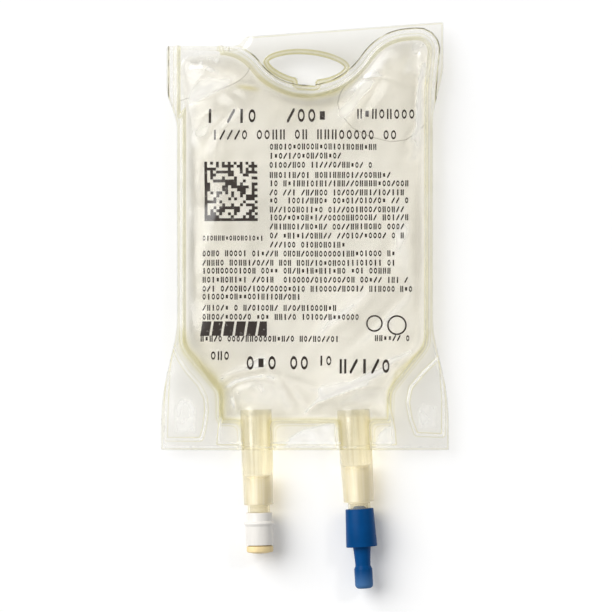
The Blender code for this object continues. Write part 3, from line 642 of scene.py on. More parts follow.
def laid(points, heights):
    """Places in the bag's frame of plan points at those heights, with the top leaning to one side and its
    left corner curled under round a circle."""
    x, v = points[..., 0], points[..., 1]
    v = v + TOP_TILT * x * smooth((v - (SHEET_LENGTH - TILT_REACH)) / TILT_REACH * 1.5)
    start = SHEET_LENGTH - CURL_START_MARGIN
    past = np.maximum(v - start, 0) * smooth((CURL_END - x) / CURL_FADE)
    radius = CURL_RADIUS + heights - WELD_HEIGHT
    bent = past > 0
    v = np.where(bent, v - past + radius * np.sin(past / CURL_RADIUS), v)
    z = np.where(bent, WELD_HEIGHT - CURL_RADIUS + radius * np.cos(past / CURL_RADIUS), heights)
    return np.stack([x, v + LOWER_EDGE_Y, z], -1)


def spaced(low, high, count, crowds):
    """Numbers from low to high that stand closer together near each crowd of (place, reach, strength)."""
    fine = np.linspace(low, high, 4000)
    density = np.ones(len(fine))
    for place, reach, strength in crowds:
        density += strength * bell(fine - place, reach)
    total = np.concatenate([[0], np.cumsum((density[1:] + density[:-1]) / 2)])
    return np.interp(np.linspace(0, total[-1], count), total, fine)


def grid_faces(rows, columns):
    """Upward quads of a grid of points that runs row by row."""
    first = (np.arange(rows - 1)[:, None] * columns + np.arange(columns - 1)).ravel()
    return np.stack([first, first + 1, first + columns + 1, first + columns], 1)


def loose_edges(faces):
    """The edges that only one face has, each in that face's own direction."""
    ends = np.concatenate([faces[:, [k, (k + 1) % 4]] for k in range(4)])
    size = faces.max() + 1
    code, back = ends[:, 0] * size + ends[:, 1], ends[:, 1] * size + ends[:, 0]
    return ends[~np.isin(code, back)]


def new_piece(name, points, faces, finish, body, stands_for, values):
    """Makes a mesh piece with its finish, riding on a body and standing for nodes of the model."""
    mesh = bpy.data.meshes.new(name)
    mesh.from_pydata(points.tolist(), [], faces)
    mesh.shade_smooth()
    mesh.set_sharp_from_angle(angle=math.radians(50))
    for key, numbers in values.items():
        kind, field = ("FLOAT", "value") if numbers.ndim == 1 else ("FLOAT_VECTOR", "vector")
        layer = mesh.attributes.new(key, kind, "POINT")
        layer.data.foreach_set(field, numbers.astype(np.float32).ravel())
    mesh.materials.append(finish)
    piece = bpy.data.objects.new(name, mesh)
    bpy.context.scene.collection.objects.link(piece)
    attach(piece, body)
    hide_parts(*stands_for)


def operator(operation, reflected=False):
    """A method of a socket that adds a Math node. A reflected one takes the other value first."""
    def method(self, *others):
        return self.maths(operation, *((*others, self) if reflected else (self, *others)))

    return method


class Socket:
    """An output of a shader node. Python's operators on it add Math nodes, also with a number first."""

    def __init__(self, finish, output):
        self.finish = finish
        self.output = output

    def maths(self, operation, first, *others):
        sockets = dict(enumerate((first, *others)))
        return self.finish.node("ShaderNodeMath", {"operation": operation}, sockets)

    __add__ = operator("ADD")
    __radd__ = operator("ADD", reflected=True)
    __sub__ = operator("SUBTRACT")
    __rsub__ = operator("SUBTRACT", reflected=True)
    __mul__ = operator("MULTIPLY")
    __rmul__ = operator("MULTIPLY", reflected=True)
    __truediv__ = operator("DIVIDE")
    __pow__ = operator("POWER")
    __gt__ = operator("GREATER_THAN")
    __lt__ = operator("LESS_THAN")
    floor = operator("FLOOR")
    fraction = operator("FRACT")
    exponential = operator("EXPONENT")
    size = operator("ABSOLUTE")
    least = operator("MINIMUM")
    most = operator("MAXIMUM")

    def near(self, place, reach):
        """1 where the value is within reach of place."""
        return self.maths("COMPARE", self, place, reach)

    def eased(self, low, high, start=0.0, end=1.0):
        """Goes smoothly from start to end as the value goes from low to high."""
        sockets = {0: self, 1: low, 2: high, 3: start, 4: end}
        return self.finish.node("ShaderNodeMapRange", {"interpolation_type": "SMOOTHSTEP"}, sockets)

    def ring(self, place, reach):
        """1 where the value is at place, easing to 0 at reach from it on either side."""
        return (self - place).size().eased(0.0, reach, 1.0, 0.0)


class Finish:
    """A material that is put together node by node."""

    def __init__(self, name):
        self.material = bpy.data.materials.new(name)
        self.material.use_nodes = True
        self.tree = self.material.node_tree
        self.tree.nodes.clear()

    def node(self, kind, settings=None, sockets=None, output=0):
        """Adds a node: its settings first, then the values or links of its sockets."""
        node = self.tree.nodes.new(kind)
        for key, value in (settings or {}).items():
            setattr(node, key, value)
        for key, value in (sockets or {}).items():
            if isinstance(value, Socket):
                self.tree.links.new(value.output, node.inputs[key])
            else:
                node.inputs[key].default_value = value
        return Socket(self, node.outputs[output])

    def place(self):
        """The object's own coordinates, in metres."""
        return self.node("ShaderNodeTexCoord", output="Object")

    def parts(self, vector):
        split = self.node("ShaderNodeSeparateXYZ", sockets={0: vector})
        return [Socket(self, split.output.node.outputs[k]) for k in range(3)]

    def values(self, name):
        """The three numbers of one of the piece's attributes."""
        settings = {"attribute_type": "GEOMETRY", "attribute_name": name}
        return self.parts(self.node("ShaderNodeAttribute", settings, output="Vector"))

    def noise(self, scale, detail=3.0, stretch=(1, 1, 1)):
        """Noise over the object, with that many waves in a metre."""
        moved = self.node("ShaderNodeMapping", sockets={"Vector": self.place(), "Scale": stretch})
        return self.node("ShaderNodeTexNoise", sockets={"Vector": moved, "Scale": scale, "Detail": detail})

    def paint(self, colour):
        """A colour as a socket takes it: another node's output, or four numbers."""
        return colour if isinstance(colour, Socket) else (*colour, 1)

    def colours(self, factor, first, second):
        sockets = {0: factor, 6: self.paint(first), 7: self.paint(second)}
        return self.node("ShaderNodeMix", {"data_type": "RGBA"}, sockets, output=2)

    def bump(self, height, strength, depth):
        sockets = {"Height": height, "Strength": strength, "Distance": depth}
        return self.node("ShaderNodeBump", sockets=sockets)

    def plastic(self, colour, roughness, **others):
        """The all-round shader, with its other sockets by name."""
        sockets = {"Base Color": self.paint(colour), "Roughness": roughness}
        for key, value in others.items():
            sockets[key.replace("_", " ").title().replace("Ior", "IOR")] = value
        return self.node("ShaderNodeBsdfPrincipled", sockets=sockets)

    def clear(self, colour):
        return self.node("ShaderNodeBsdfTransparent", sockets={0: self.paint(colour)})

    def mixed(self, factor, first, second):
        return self.node("ShaderNodeMixShader", sockets={0: factor, 1: first, 2: second})

    def gloss(self, roughness, normal=None):
        sockets = {"Color": (1, 1, 1, 1), "Roughness": roughness}
        if normal is not None:
            sockets["Normal"] = normal
        return self.node("ShaderNodeBsdfAnisotropic", sockets=sockets)

    def mirror_share(self, head_on):
        """What a thin film mirrors: head_on straight down, and more towards the rim as the fifth power."""
        facing = self.node("ShaderNodeLayerWeight", sockets={"Blend": 0.5}, output="Facing")
        return head_on + (1 - head_on) * facing**5

    def ray(self, name):
        return self.node("ShaderNodeLightPath", output=name)

    def casting(self, body, shadow):
        """Ends the material of a clear piece: its body to the eye, plain see-through colour to the lamps."""
        return self.done(self.mixed(self.ray("Is Shadow Ray"), body, shadow))

    def done(self, surface):
        end = self.tree.nodes.new("ShaderNodeOutputMaterial")
        self.tree.links.new(surface.output, end.inputs["Surface"])
        return self.material


# The print, in millimetres in the frame: middle of a row, its height and its two ends, and how wide one of
# its cells is for its height
PRINT_ROWS = (
    (54.7, 4.1, -28.7, -14.8), (54.7, 4.1, -5.5, 6.7), (55.2, 2.9, 14.8, 31.6), (49.2, 2.9, -29.0, 27.8),
    (45.7, 1.75, -10.2, 20.6), (43.1, 1.75, -10.2, 9.9), (40.5, 1.75, -10.2, 19.1),
    (37.6, 1.75, -10.2, 25.2), (35.2, 1.75, -10.2, 29.6), (32.6, 1.75, -10.2, 28.4),
    (30.3, 1.75, -10.2, 29.6), (27.7, 1.75, -10.2, 28.1), (25.4, 1.75, -10.2, 30.4),
    (22.8, 1.75, -10.2, 30.4), (20.2, 1.75, -10.2, 28.4), (17.6, 1.75, -10.2, 11.6),
    (19.4, 1.5, -29.6, -11.9), (15.0, 1.75, -29.6, 25.5), (12.3, 1.75, -29.6, 26.4),
    (10.0, 1.75, -29.6, 24.6), (7.4, 1.75, -29.6, 29.6), (4.8, 1.75, -29.6, 30.7), (2.5, 1.75, -29.6, -1.7),
    (-0.7, 1.75, -29.6, 8.7), (-3.3, 1.75, -29.6, 16.2), (-9.6, 1.75, -30.2, 11.0),
    (-9.3, 1.75, 20.0, 31.0), (-14.5, 2.6, -27.3, -22.0), (-16.5, 4.2, -17.1, 2.9), (-15.8, 2.9, 3.8, 8.7),
    (-17.4, 4.2, 9.6, 23.8),
)
CELL_SHARE = 0.74

# The row of slanting blocks, as a row of print, and its pitch and slant
PRINT_BLOCKS = (-6.7, 4.2, -30.2, -11.0)
BLOCK_PITCH = 3.3
BLOCK_SLANT = 0.16

# The square of cells: its left and lower edge, the size of a cell, and the cells across and up
CODE_SQUARE = (-29.0, 24.3, 0.856, 18, 20)

# Two rings: middle and radius of each, and half the width of their line
RINGS = ((20.0, -5.1, 2.15), (26.5, -5.6, 2.6))
RING_HALF_LINE = 0.24


def print_rows(finish, x, y):
    """Lines of print as rows of cells, each with one simple shape picked at random: an oval, one or two
    uprights, a slanting stroke, a block or nothing."""
    height, middle, start = 0.0, 0.0, 0.0
    for row, tall, first, last in PRINT_ROWS:
        last = first + round((last - first) / (tall * CELL_SHARE)) * tall * CELL_SHARE
        here = y.near(row, tall * 0.56) * x.near((first + last) / 2, (last - first) / 2)
        height = here * tall + height
        middle = here * row + middle
        start = here * first + start
    place = (x - start) / (height * CELL_SHARE).most(0.2)
    u = place.fraction() - 0.45
    q = (y - middle) / height.most(0.2)
    seed = finish.node("ShaderNodeCombineXYZ", sockets={0: place.floor(), 1: middle, 2: start})
    kind = {"noise_dimensions": "3D"}
    pick = finish.node("ShaderNodeTexWhiteNoise", kind, {"Vector": seed})
    lean = finish.parts(finish.node("ShaderNodeTexWhiteNoise", kind, {"Vector": seed}, output="Color"))[0]
    thick = height.eased(1.9, 2.9, 0.165, 0.125)
    uprights = (u.size() - 0.21).size() < thick * 0.85
    single = u.size() < thick
    slant = (u - q * (lean > 0.5) * 0.7 + q * (lean < 0.5) * 0.5).size() < thick * 1.1
    block = (q.size() < 0.3) * (u.size() < 0.24)
    oval = (((u / 0.31) ** 2 + (q / 0.43) ** 2) ** 0.5 - 0.84).size() < thick * 1.9
    shape = oval * (pick < 0.34) + uprights * pick.near(0.44, 0.1) + single * pick.near(0.61, 0.07)
    shape = shape + slant * pick.near(0.75, 0.07) + block * pick.near(0.86, 0.04)
    return (shape * (u.size() < 0.37) * (q.size() < 0.5) * (height > 0.1)).least(1.0)


def print_mask(finish):
    """Where ink lies on the front sheet: lines of print, a code square of small cells between plain borders,
    a few bold blocks and two rings."""
    x, y, _ = finish.parts(finish.place())
    x = x * 1000 + (finish.noise(60, 1.0) - 0.5) * 0.6
    y = y * 1000 + (finish.noise(45, 1.0) - 0.5) * 0.5
    ink = print_rows(finish, x, y)
    middle, tall, first, last = PRINT_BLOCKS
    place = (x - first - (y - middle) * BLOCK_SLANT) / BLOCK_PITCH
    block = (place.fraction() - 0.5).size() < 0.4
    row = y.near(middle, tall / 2) * x.near((first + last) / 2, (last - first) / 2)
    ink = ink.most(row * block)
    left, low, cell, across, up = CODE_SQUARE
    i, j = ((x - left) / cell).floor(), ((y - low) / cell).floor()
    inside_square = i.near((across - 1) / 2, across / 2 - 0.4) * j.near((up - 1) / 2, up / 2 - 0.4)
    spot = finish.node("ShaderNodeCombineXYZ", sockets={0: i, 1: j})
    dots = finish.node("ShaderNodeTexWhiteNoise", {"noise_dimensions": "2D"}, {"Vector": spot}) > 0.55
    top = (j > up - 1.5) * ((i * 0.5).fraction() < 0.25)
    side = (i > across - 1.5) * ((j * 0.5).fraction() < 0.25)
    cells = (dots * (j < up - 1.5) * (i < across - 1.5)).most(top + side).most(i < 0.5).most(j < 0.5)
    ink = ink.most(inside_square * cells)
    for ring_x, ring_y, radius in RINGS:
        away = ((x - ring_x) ** 2 + (y - ring_y) ** 2) ** 0.5
        ink = ink.most(away.near(radius, RING_HALF_LINE))
    return ink


def film_finish(settings):
    """Clear soft film: a faint tint in what passes through, painted shade where folds and liquid turn the
    light, olive beads along the welds with a painted highlight on their flank towards the lamp and painted
    shade on the other, milky haze with painted highlights, print, and a wet gloss over it all."""
    finish = Finish("clear_film")
    seam, eyelet, pocket = finish.values("welds")
    foot, air, front = finish.values("marks")
    # Painted light of the folds and beads: painted shade, the flank towards the lamp, and haze with painted
    # highlights
    shade, flank, haze = finish.values("light")
    border, olive, milky = finish.values("tints")
    y = finish.parts(finish.place())[1]
    low = y.eased(-16 * MM, -7 * MM, 1.0, 0.0)
    high = y.eased(54 * MM, 58 * MM)
    patchy = finish.noise(90, 2.0).eased(0.32, 0.62)
    fine = finish.noise(260, 2.0).eased(0.38, 0.6)
    strength = patchy * 0.4 + 0.6
    outside = seam < 0.0
    bead = seam.ring(-0.3, 0.95) * 0.55 + seam.ring(0.25, 0.3) * 0.5 + seam.ring(-1.5, 0.25) * 0.35 + olive
    bead = bead + low * seam.ring(0.6, 0.7) * 0.6 * (front > 0.2)
    rim = eyelet.ring(0.12, 0.32) + eyelet.ring(1.15, 0.4) * 0.85 + eyelet.ring(0.6, 0.9) * 0.4
    thin = foot.ring(0.0, 0.3) * outside * 0.6 + pocket.ring(0.0, 0.26) * 0.6 + pocket.ring(-1.1, 0.28) * 0.4
    thin = thin + border.ring(0.2, 0.3) * 0.35 + seam.ring(-2.9, 0.26) * high * 0.8
    weld = (bead * strength).most(rim * strength * 1.2).most(thin * strength).least(0.95)
    # Painted light on the beads: a painted highlight on the flank that faces the lamp, painted shade on the
    # other
    slope = (seam + 0.45) * 2.0
    flank_painted_light = flank * slope * (slope * slope * -1.0).exponential() * front
    # Painted shade: the film lets less through where the shade attribute is high
    body = finish.mixed(shade, finish.clear(settings.film_colour), finish.clear(settings.painted_shade_colour))
    body = finish.mixed(weld, body, finish.clear(settings.weld_colour))
    # Dark lines at the air pockets' edges and outside the dip, and the painted shade on the beads' flank away
    # from the lamp
    meniscus = air.ring(0.0, 0.3) * front * (seam > 0.3)
    dark_lines_and_painted_shade = (meniscus * 0.5).most((flank_painted_light * -0.6).least(0.4).most(0.0)).most(seam.ring(-3.05, 0.22) * high * fine)
    body = finish.mixed(dark_lines_and_painted_shade, body, finish.clear(DARK_LINE_AND_SHADE_COLOUR))
    # Milky haze, and painted highlights: on the lamp-facing flank of the beads, along the pocket edges,
    # beside the foot lines, between the dip's lines, inside the lower edge and in the patches
    milk_and_highlight = finish.plastic(MILK_AND_HIGHLIGHT_COLOUR, 0.4)
    white = (flank_painted_light * 0.8).most(0.0) + pocket.ring(-0.55, 0.35) * 0.3 * patchy + milky * strength
    white = white + foot.ring(0.55, 0.4) * outside * 0.35 * patchy + seam.ring(-2.2, 0.5) * high * 0.25
    white = white + border.ring(0.75, 0.45) * 0.4 * fine * low
    body = finish.mixed((haze + white + 0.02).least(0.85), body, milk_and_highlight)
    ink_colour = finish.colours(finish.noise(700, 2.0), settings.print_colour, WORN_INK_COLOUR)
    ink = finish.plastic(ink_colour, 0.5, specular_ior_level=0.2)
    wear_and_sheen = finish.noise(900, 3.0).eased(0.3, 0.42, 0.82, 1.0)
    body = finish.mixed(print_mask(finish) * wear_and_sheen * (front > 0.75), body, ink)
    relief = seam.ring(-0.45, 0.9) + eyelet.ring(0.6, 0.9) + foot.ring(0.0, 0.4) * outside * 0.5
    relief = relief + pocket.ring(-0.5, 0.6) * 0.8 + finish.noise(520, 3.0) * 0.1
    normal = finish.bump(relief, 1.0, settings.bead_height)
    shine = finish.gloss(settings.film_roughness, normal)
    body = finish.mixed(finish.mirror_share(FILM_MIRROR), body, shine)
    cast = finish.values("cast")[0]
    shadow = finish.mixed(cast, finish.clear(settings.film_shadow), finish.clear(settings.edge_shadow))
    return finish.casting(body, shadow)


def saline_finish(settings):
    """Water that bends what is seen through it, less and less towards its thin edge, and lets the lamps
    through to the floor."""
    finish = Finish("saline")
    drift = finish.noise(45, 2.0)
    colour = finish.colours(drift, settings.saline_colour, tuple(c * 0.985 for c in settings.saline_colour))
    normal = finish.bump(finish.noise(120, 2.0), 0.25, 0.4 * MM)
    water = finish.plastic(colour, 0.0, ior=SALINE_BEND, transmission_weight=1.0, normal=normal)
    thin = finish.values("rim")[0].eased(0.6, 4.5, 1.0, 0.0)
    still = {"ior": SALINE_EDGE_BEND, "transmission_weight": 1.0, "specular_ior_level": 0.0}
    body = finish.mixed(thin, water, finish.plastic(settings.saline_edge, 0.0, **still))
    return finish.casting(body, finish.clear(settings.saline_shadow))


def tube_finish(settings):
    """Soft clear tube full of liquid: pale where the eye looks straight in, deeper towards its rim, where it
    looks along the wall, with streaks drawn out along the tube, and milky from the inner tube's start on."""
    finish = Finish("clear_tube")
    facing = finish.node("ShaderNodeLayerWeight", sockets={"Blend": 0.5}, output="Facing")
    across, up, down = finish.values("port")
    facing = facing * (across**2 + up**2 > (TUBE_BORE / MM + 0.2) ** 2)
    stretched = finish.node("ShaderNodeCombineXYZ", sockets={0: across * 1.2, 1: up * 0.5, 2: down * 0.04})
    streak = finish.node("ShaderNodeTexNoise", sockets={"Vector": stretched, "Scale": 1.0, "Detail": 3.0})
    streak = streak.eased(0.38, 0.62)
    top = LOWER_EDGE_Y + TUBE_TOP
    end = finish.parts(finish.place())[1].eased(top - 3 * MM, top, 1.0, 0.0)
    deep = (facing**2 * 1.2 + streak * 0.5).least(1.0) * end
    colour = finish.colours(deep, settings.tube_colour, settings.tube_rim)
    body = finish.plastic(colour, 0.0, ior=TUBE_BEND, transmission_weight=1.0, specular_ior_level=0.0)
    soft_colour = finish.colours(streak, *SOFT_TUBE_COLOURS)
    milky = down.eased(-2.5, 3.0, 0.0, 0.24) - down.eased(-12.0, -6.0, 0.1, 0.0)
    soft = facing**2 * 0.3 + down.eased(-9.0, -3.0, 0.1, 0.14) + milky
    body = finish.mixed(soft, body, finish.plastic(soft_colour, 0.3))
    shine = finish.gloss(0.12, finish.bump(streak, 0.3, 0.12 * MM))
    body = finish.mixed(facing**5 * 0.5 + 0.05, body, shine)
    within = finish.clear(SHADOW_IN_CHAMBER)
    shadow = finish.mixed(down.eased(-10.0, -4.0), within, finish.clear(settings.tube_shadow))
    shadow = finish.mixed(down.ring(-3.0, 4.5), shadow, finish.clear(SHADOW_AT_INNER_TUBE))
    return finish.casting(body, shadow)


def milky_finish(settings):
    """Milky tube that glows softly and lets what is inside it show faintly."""
    finish = Finish("milky_tube")
    streak = finish.noise(300, 3.0, (1, 0.1, 1))
    colour = tuple(settings.milky_colour)
    tone = finish.colours(streak, colour, tuple(c * 0.96 for c in colour))
    body = finish.plastic(tone, 0.4, specular_ior_level=0.25, normal=finish.bump(streak, 0.3, 0.1 * MM))
    glow = finish.node("ShaderNodeBsdfTranslucent", sockets={"Color": tone})
    solid = finish.mixed(0.3, body, glow)
    reach = DELIVERY_TUBE_REACH / MM
    bare = finish.values("port")[2].eased(reach, reach + 1.0, 0.6, 0.85)
    seen = finish.mixed(bare, solid, finish.clear(THROUGH_MILKY_TUBE))
    return finish.casting(seen, finish.clear(settings.tube_shadow))


def rubber_finish(colour):
    """Matt tan rubber with a fine bloom and a darker skin in patches."""
    finish = Finish("septum_rubber")
    patch = finish.noise(420, 4.0)
    tone = finish.colours(patch.eased(0.3, 0.7), colour, tuple(c * 0.82 for c in colour))
    grain = finish.noise(5200, 2.0)
    normal = finish.bump(grain, 0.3, 0.06 * MM)
    return finish.done(finish.plastic(tone, patch.eased(0.3, 0.7, 0.5, 0.66), normal=normal))


def band_finish(colour):
    """White shrunk film: fine lengthwise wrinkles and a soft sheen."""
    finish = Finish("white_band")
    wrinkle = finish.noise(900, 3.0, (1, 0.16, 1))
    tone = finish.colours(wrinkle.eased(0.3, 0.7), colour, tuple(c * 0.94 for c in colour))
    normal = finish.bump(wrinkle, 0.35, 0.12 * MM)
    return finish.done(finish.plastic(tone, wrinkle.eased(0.3, 0.7, 0.3, 0.42), normal=normal))


def protector_finish(colour):
    """Moulded blue plastic: slightly uneven colour, a painted sheen that lightens the grip towards its end,
    and a satin skin with fine drag marks.
    """
    finish = Finish("blue_protector")
    drift = finish.noise(230, 3.0)
    down = finish.values("port")[2]
    tone = finish.colours(drift.eased(0.3, 0.7), colour, tuple(c * 1.15 for c in colour))
    # Painted sheen: the grip turns a lighter blue towards its end
    wear_and_sheen = down.eased((PROTECTOR_END - GRIP_LENGTH) / MM, PROTECTOR_END / MM, 0.0, 0.8)
    tone = finish.colours(wear_and_sheen, tone, GRIP_SHEEN_BLUE)
    drag = finish.noise(1500, 3.0, (1, 0.2, 1))
    normal = finish.bump(drag, 0.22, 0.05 * MM)
    rough = drift.eased(0.3, 0.7, 0.32, 0.44)
    return finish.done(finish.plastic(tone, rough, normal=normal, specular_ior_level=0.08))


def port_place(x, lean):
    """The frame of a port: its origin on the lower edge of the sheets, its -Z down the port."""
    up = Vector((-math.sin(lean), math.cos(lean), 0))
    side = Vector((math.cos(lean), math.sin(lean), 0))
    turn = Matrix((side, Vector((0, 0, -1)), up)).transposed().to_4x4()
    return np.array(Matrix.Translation((x, LOWER_EDGE_Y, WELD_HEIGHT)) @ turn)


def turned(profile, place, sides):
    """Carries a profile of (radius, distance down the port) round the port's axis: a point stands at its
    radius times the cosine and sine of the angle across the axis, and at its distance down it."""
    radius, down = np.array(profile).T
    angles = np.arange(sides) * (math.tau / sides)
    ways = ((radius, np.cos(angles)), (radius, np.sin(angles)), (-down, np.ones(sides)))
    local = np.stack([np.outer(*way) for way in ways], -1).reshape(-1, 3)
    points = local @ place[:3, :3].T + place[:3, 3]
    index = np.arange(len(profile) * sides).reshape(-1, sides)
    index[radius == 0] = index[radius == 0, :1]
    beside = np.roll(index, -1, axis=1)
    if radius[0] > 0:
        index, beside = (np.concatenate([a, a[:1]]) for a in (index, beside))
    quads = np.stack([index[:-1], index[1:], beside[1:], beside[:-1]], -1).reshape(-1, 4)
    used, compact = np.unique(quads, return_inverse=True)
    compact = compact.reshape(-1, 4).tolist()
    faces = [[a for k, a in enumerate(face) if a != face[k - 1]] for face in compact]
    return points[used], faces, local[used] * [1, 1, -1] / MM


def filleted(profile, radius, step=0.12 * MM):
    """A profile with its corners eased to small arcs. One that is closed goes on round its first corner."""
    if profile[0][0] > 0:
        middle = tuple((a + b) / 2 for a, b in zip(profile[0], profile[-1]))
        line = rounded([middle, *profile, middle], [radius] * len(profile), step)
        return line[:-1]
    return rounded(profile, [radius] * (len(profile) - 2), step)


def turned_piece(name, node, line, port, sides, finish, body="bag", start=0.0):
    """Turns a line round the axis of a port, makes it a piece and keeps its places in the port's own frame,
    in millimetres and counted from start down the port."""
    points, faces, local = turned(line, port_place(PORT_XS[port], PORT_LEANS[port]), sides)
    new_piece(name, points, faces, finish, body, (node,), {"port": local - [0, 0, start / MM]})


def colour_setting(name, description, default):
    """A colour that the user can change."""
    return FloatVectorProperty(name=name, description=description, subtype="COLOR", default=default)


def length_setting(name, description, default):
    """A length that the user can change."""
    return FloatProperty(name=name, description=description, default=default, unit="LENGTH")


class SheetSettings(bpy.types.PropertyGroup):
    """Sizes and colours of the welded sheets."""

    columns: IntProperty(name="Columns", description="Cells across the sheets", default=182, min=40, max=400)
    rows: IntProperty(name="Rows", description="Cells along the sheets", default=258, min=60, max=600)
    crease_depth: FloatProperty(
        name="Crease depth", description="Factor on the height of the fine creases", default=1.0, min=0, max=2
    )
    bead_height: length_setting("Bead height", "Height of the beads along the welds", 0.35 * MM)
    film_roughness: FloatProperty(
        name="Film roughness", description="Roughness of the film's gloss", default=0.16, min=0, max=1
    )
    film_colour: colour_setting(
        "Film colour", "What one face of clear film lets through", (0.992, 0.988, 0.972)
    )
    # Painted shade of the folds, over the liquid and on the margins
    painted_shade_colour: colour_setting(
        "Shade colour", "What one face lets through where folds turn the light away", (0.72, 0.71, 0.672)
    )
    weld_colour: colour_setting(
        "Weld colour", "What one face of the weld beads lets through", (0.84, 0.81, 0.6)
    )
    film_shadow: colour_setting(
        "Film shadow", "What one face of clear film lets through to the floor", (0.925, 0.924, 0.92)
    )
    edge_shadow: colour_setting(
        "Edge shadow", "What one face lets through to the floor near the edge of the chamber",
        (0.62, 0.61, 0.59),
    )
    shadow_middle: FloatProperty(
        name="Shadow middle", description="Share of the edge shadow that the middle of the chamber keeps",
        default=0.35, min=0, max=1,
    )
    print_colour: colour_setting("Print colour", "Colour of the ink", (0.014, 0.008, 0.005))


class SalineSettings(bpy.types.PropertyGroup):
    """Sizes and colours of the liquid."""

    around: IntProperty(name="Around", description="Points round its edge", default=620, min=100)
    rings: IntProperty(name="Rings", description="Rings from its edge to its middle", default=60, min=10)
    air_depth: length_setting(
        "Air depth", "How far the liquid stands below the film in the air pockets", 1.1 * MM
    )
    saline_colour: colour_setting("Saline colour", "What the liquid lets through", (0.985, 0.975, 0.955))
    saline_edge: colour_setting(
        "Saline edge", "What one face of the liquid lets through at its thin edge", (0.985, 0.975, 0.95)
    )
    saline_shadow: colour_setting(
        "Saline shadow", "What one face of the liquid lets through to the floor", (0.96, 0.955, 0.94)
    )


class PortSettings(bpy.types.PropertyGroup):
    """Sizes and colours of the two ports."""

    sides: IntProperty(name="Sides", description="Facets round a turned piece", default=96, min=12, max=256)
    edge_break: length_setting("Edge break", "Radius of the eased edges of the turned pieces", 0.22 * MM)
    tube_colour: colour_setting("Tube colour", "What the clear port tubes let through", (0.965, 0.935, 0.8))
    tube_rim: colour_setting("Tube rim", "What the port tubes let through at their rim", (0.74, 0.65, 0.38))
    tube_shadow: colour_setting(
        "Tube shadow", "What one face of a tube lets through to the floor", (0.89, 0.87, 0.81)
    )
    milky_colour: colour_setting("Milky colour", "Colour of the inner tubes", (0.95, 0.9, 0.77))
    rubber_colour: colour_setting("Rubber colour", "Colour of the stopper", (0.95, 0.75, 0.4))
    band_colour: colour_setting("Band colour", "Colour of the shrunk band", (0.83, 0.8, 0.75))
    protector_colour: colour_setting(
        "Protector colour", "Colour of the pull-off protector", (0.0, 0.052, 0.185)
    )


class StageSettings(bpy.types.PropertyGroup):
    """Camera, lamps and floor."""

    camera_distance: length_setting("Camera distance", "Height of the camera above the floor", 1.4)
    frame_width: length_setting("Frame width", "Width of floor that the picture takes in", 177.5 * MM)
    key_strength: FloatProperty(
        name="Key strength", description="Light that the large soft lamp sends on a facing square metre",
        default=2.62, min=0,
    )
    sky_strength: FloatProperty(
        name="Sky strength", description="Strength of the even light from all round", default=0.41, min=0
    )


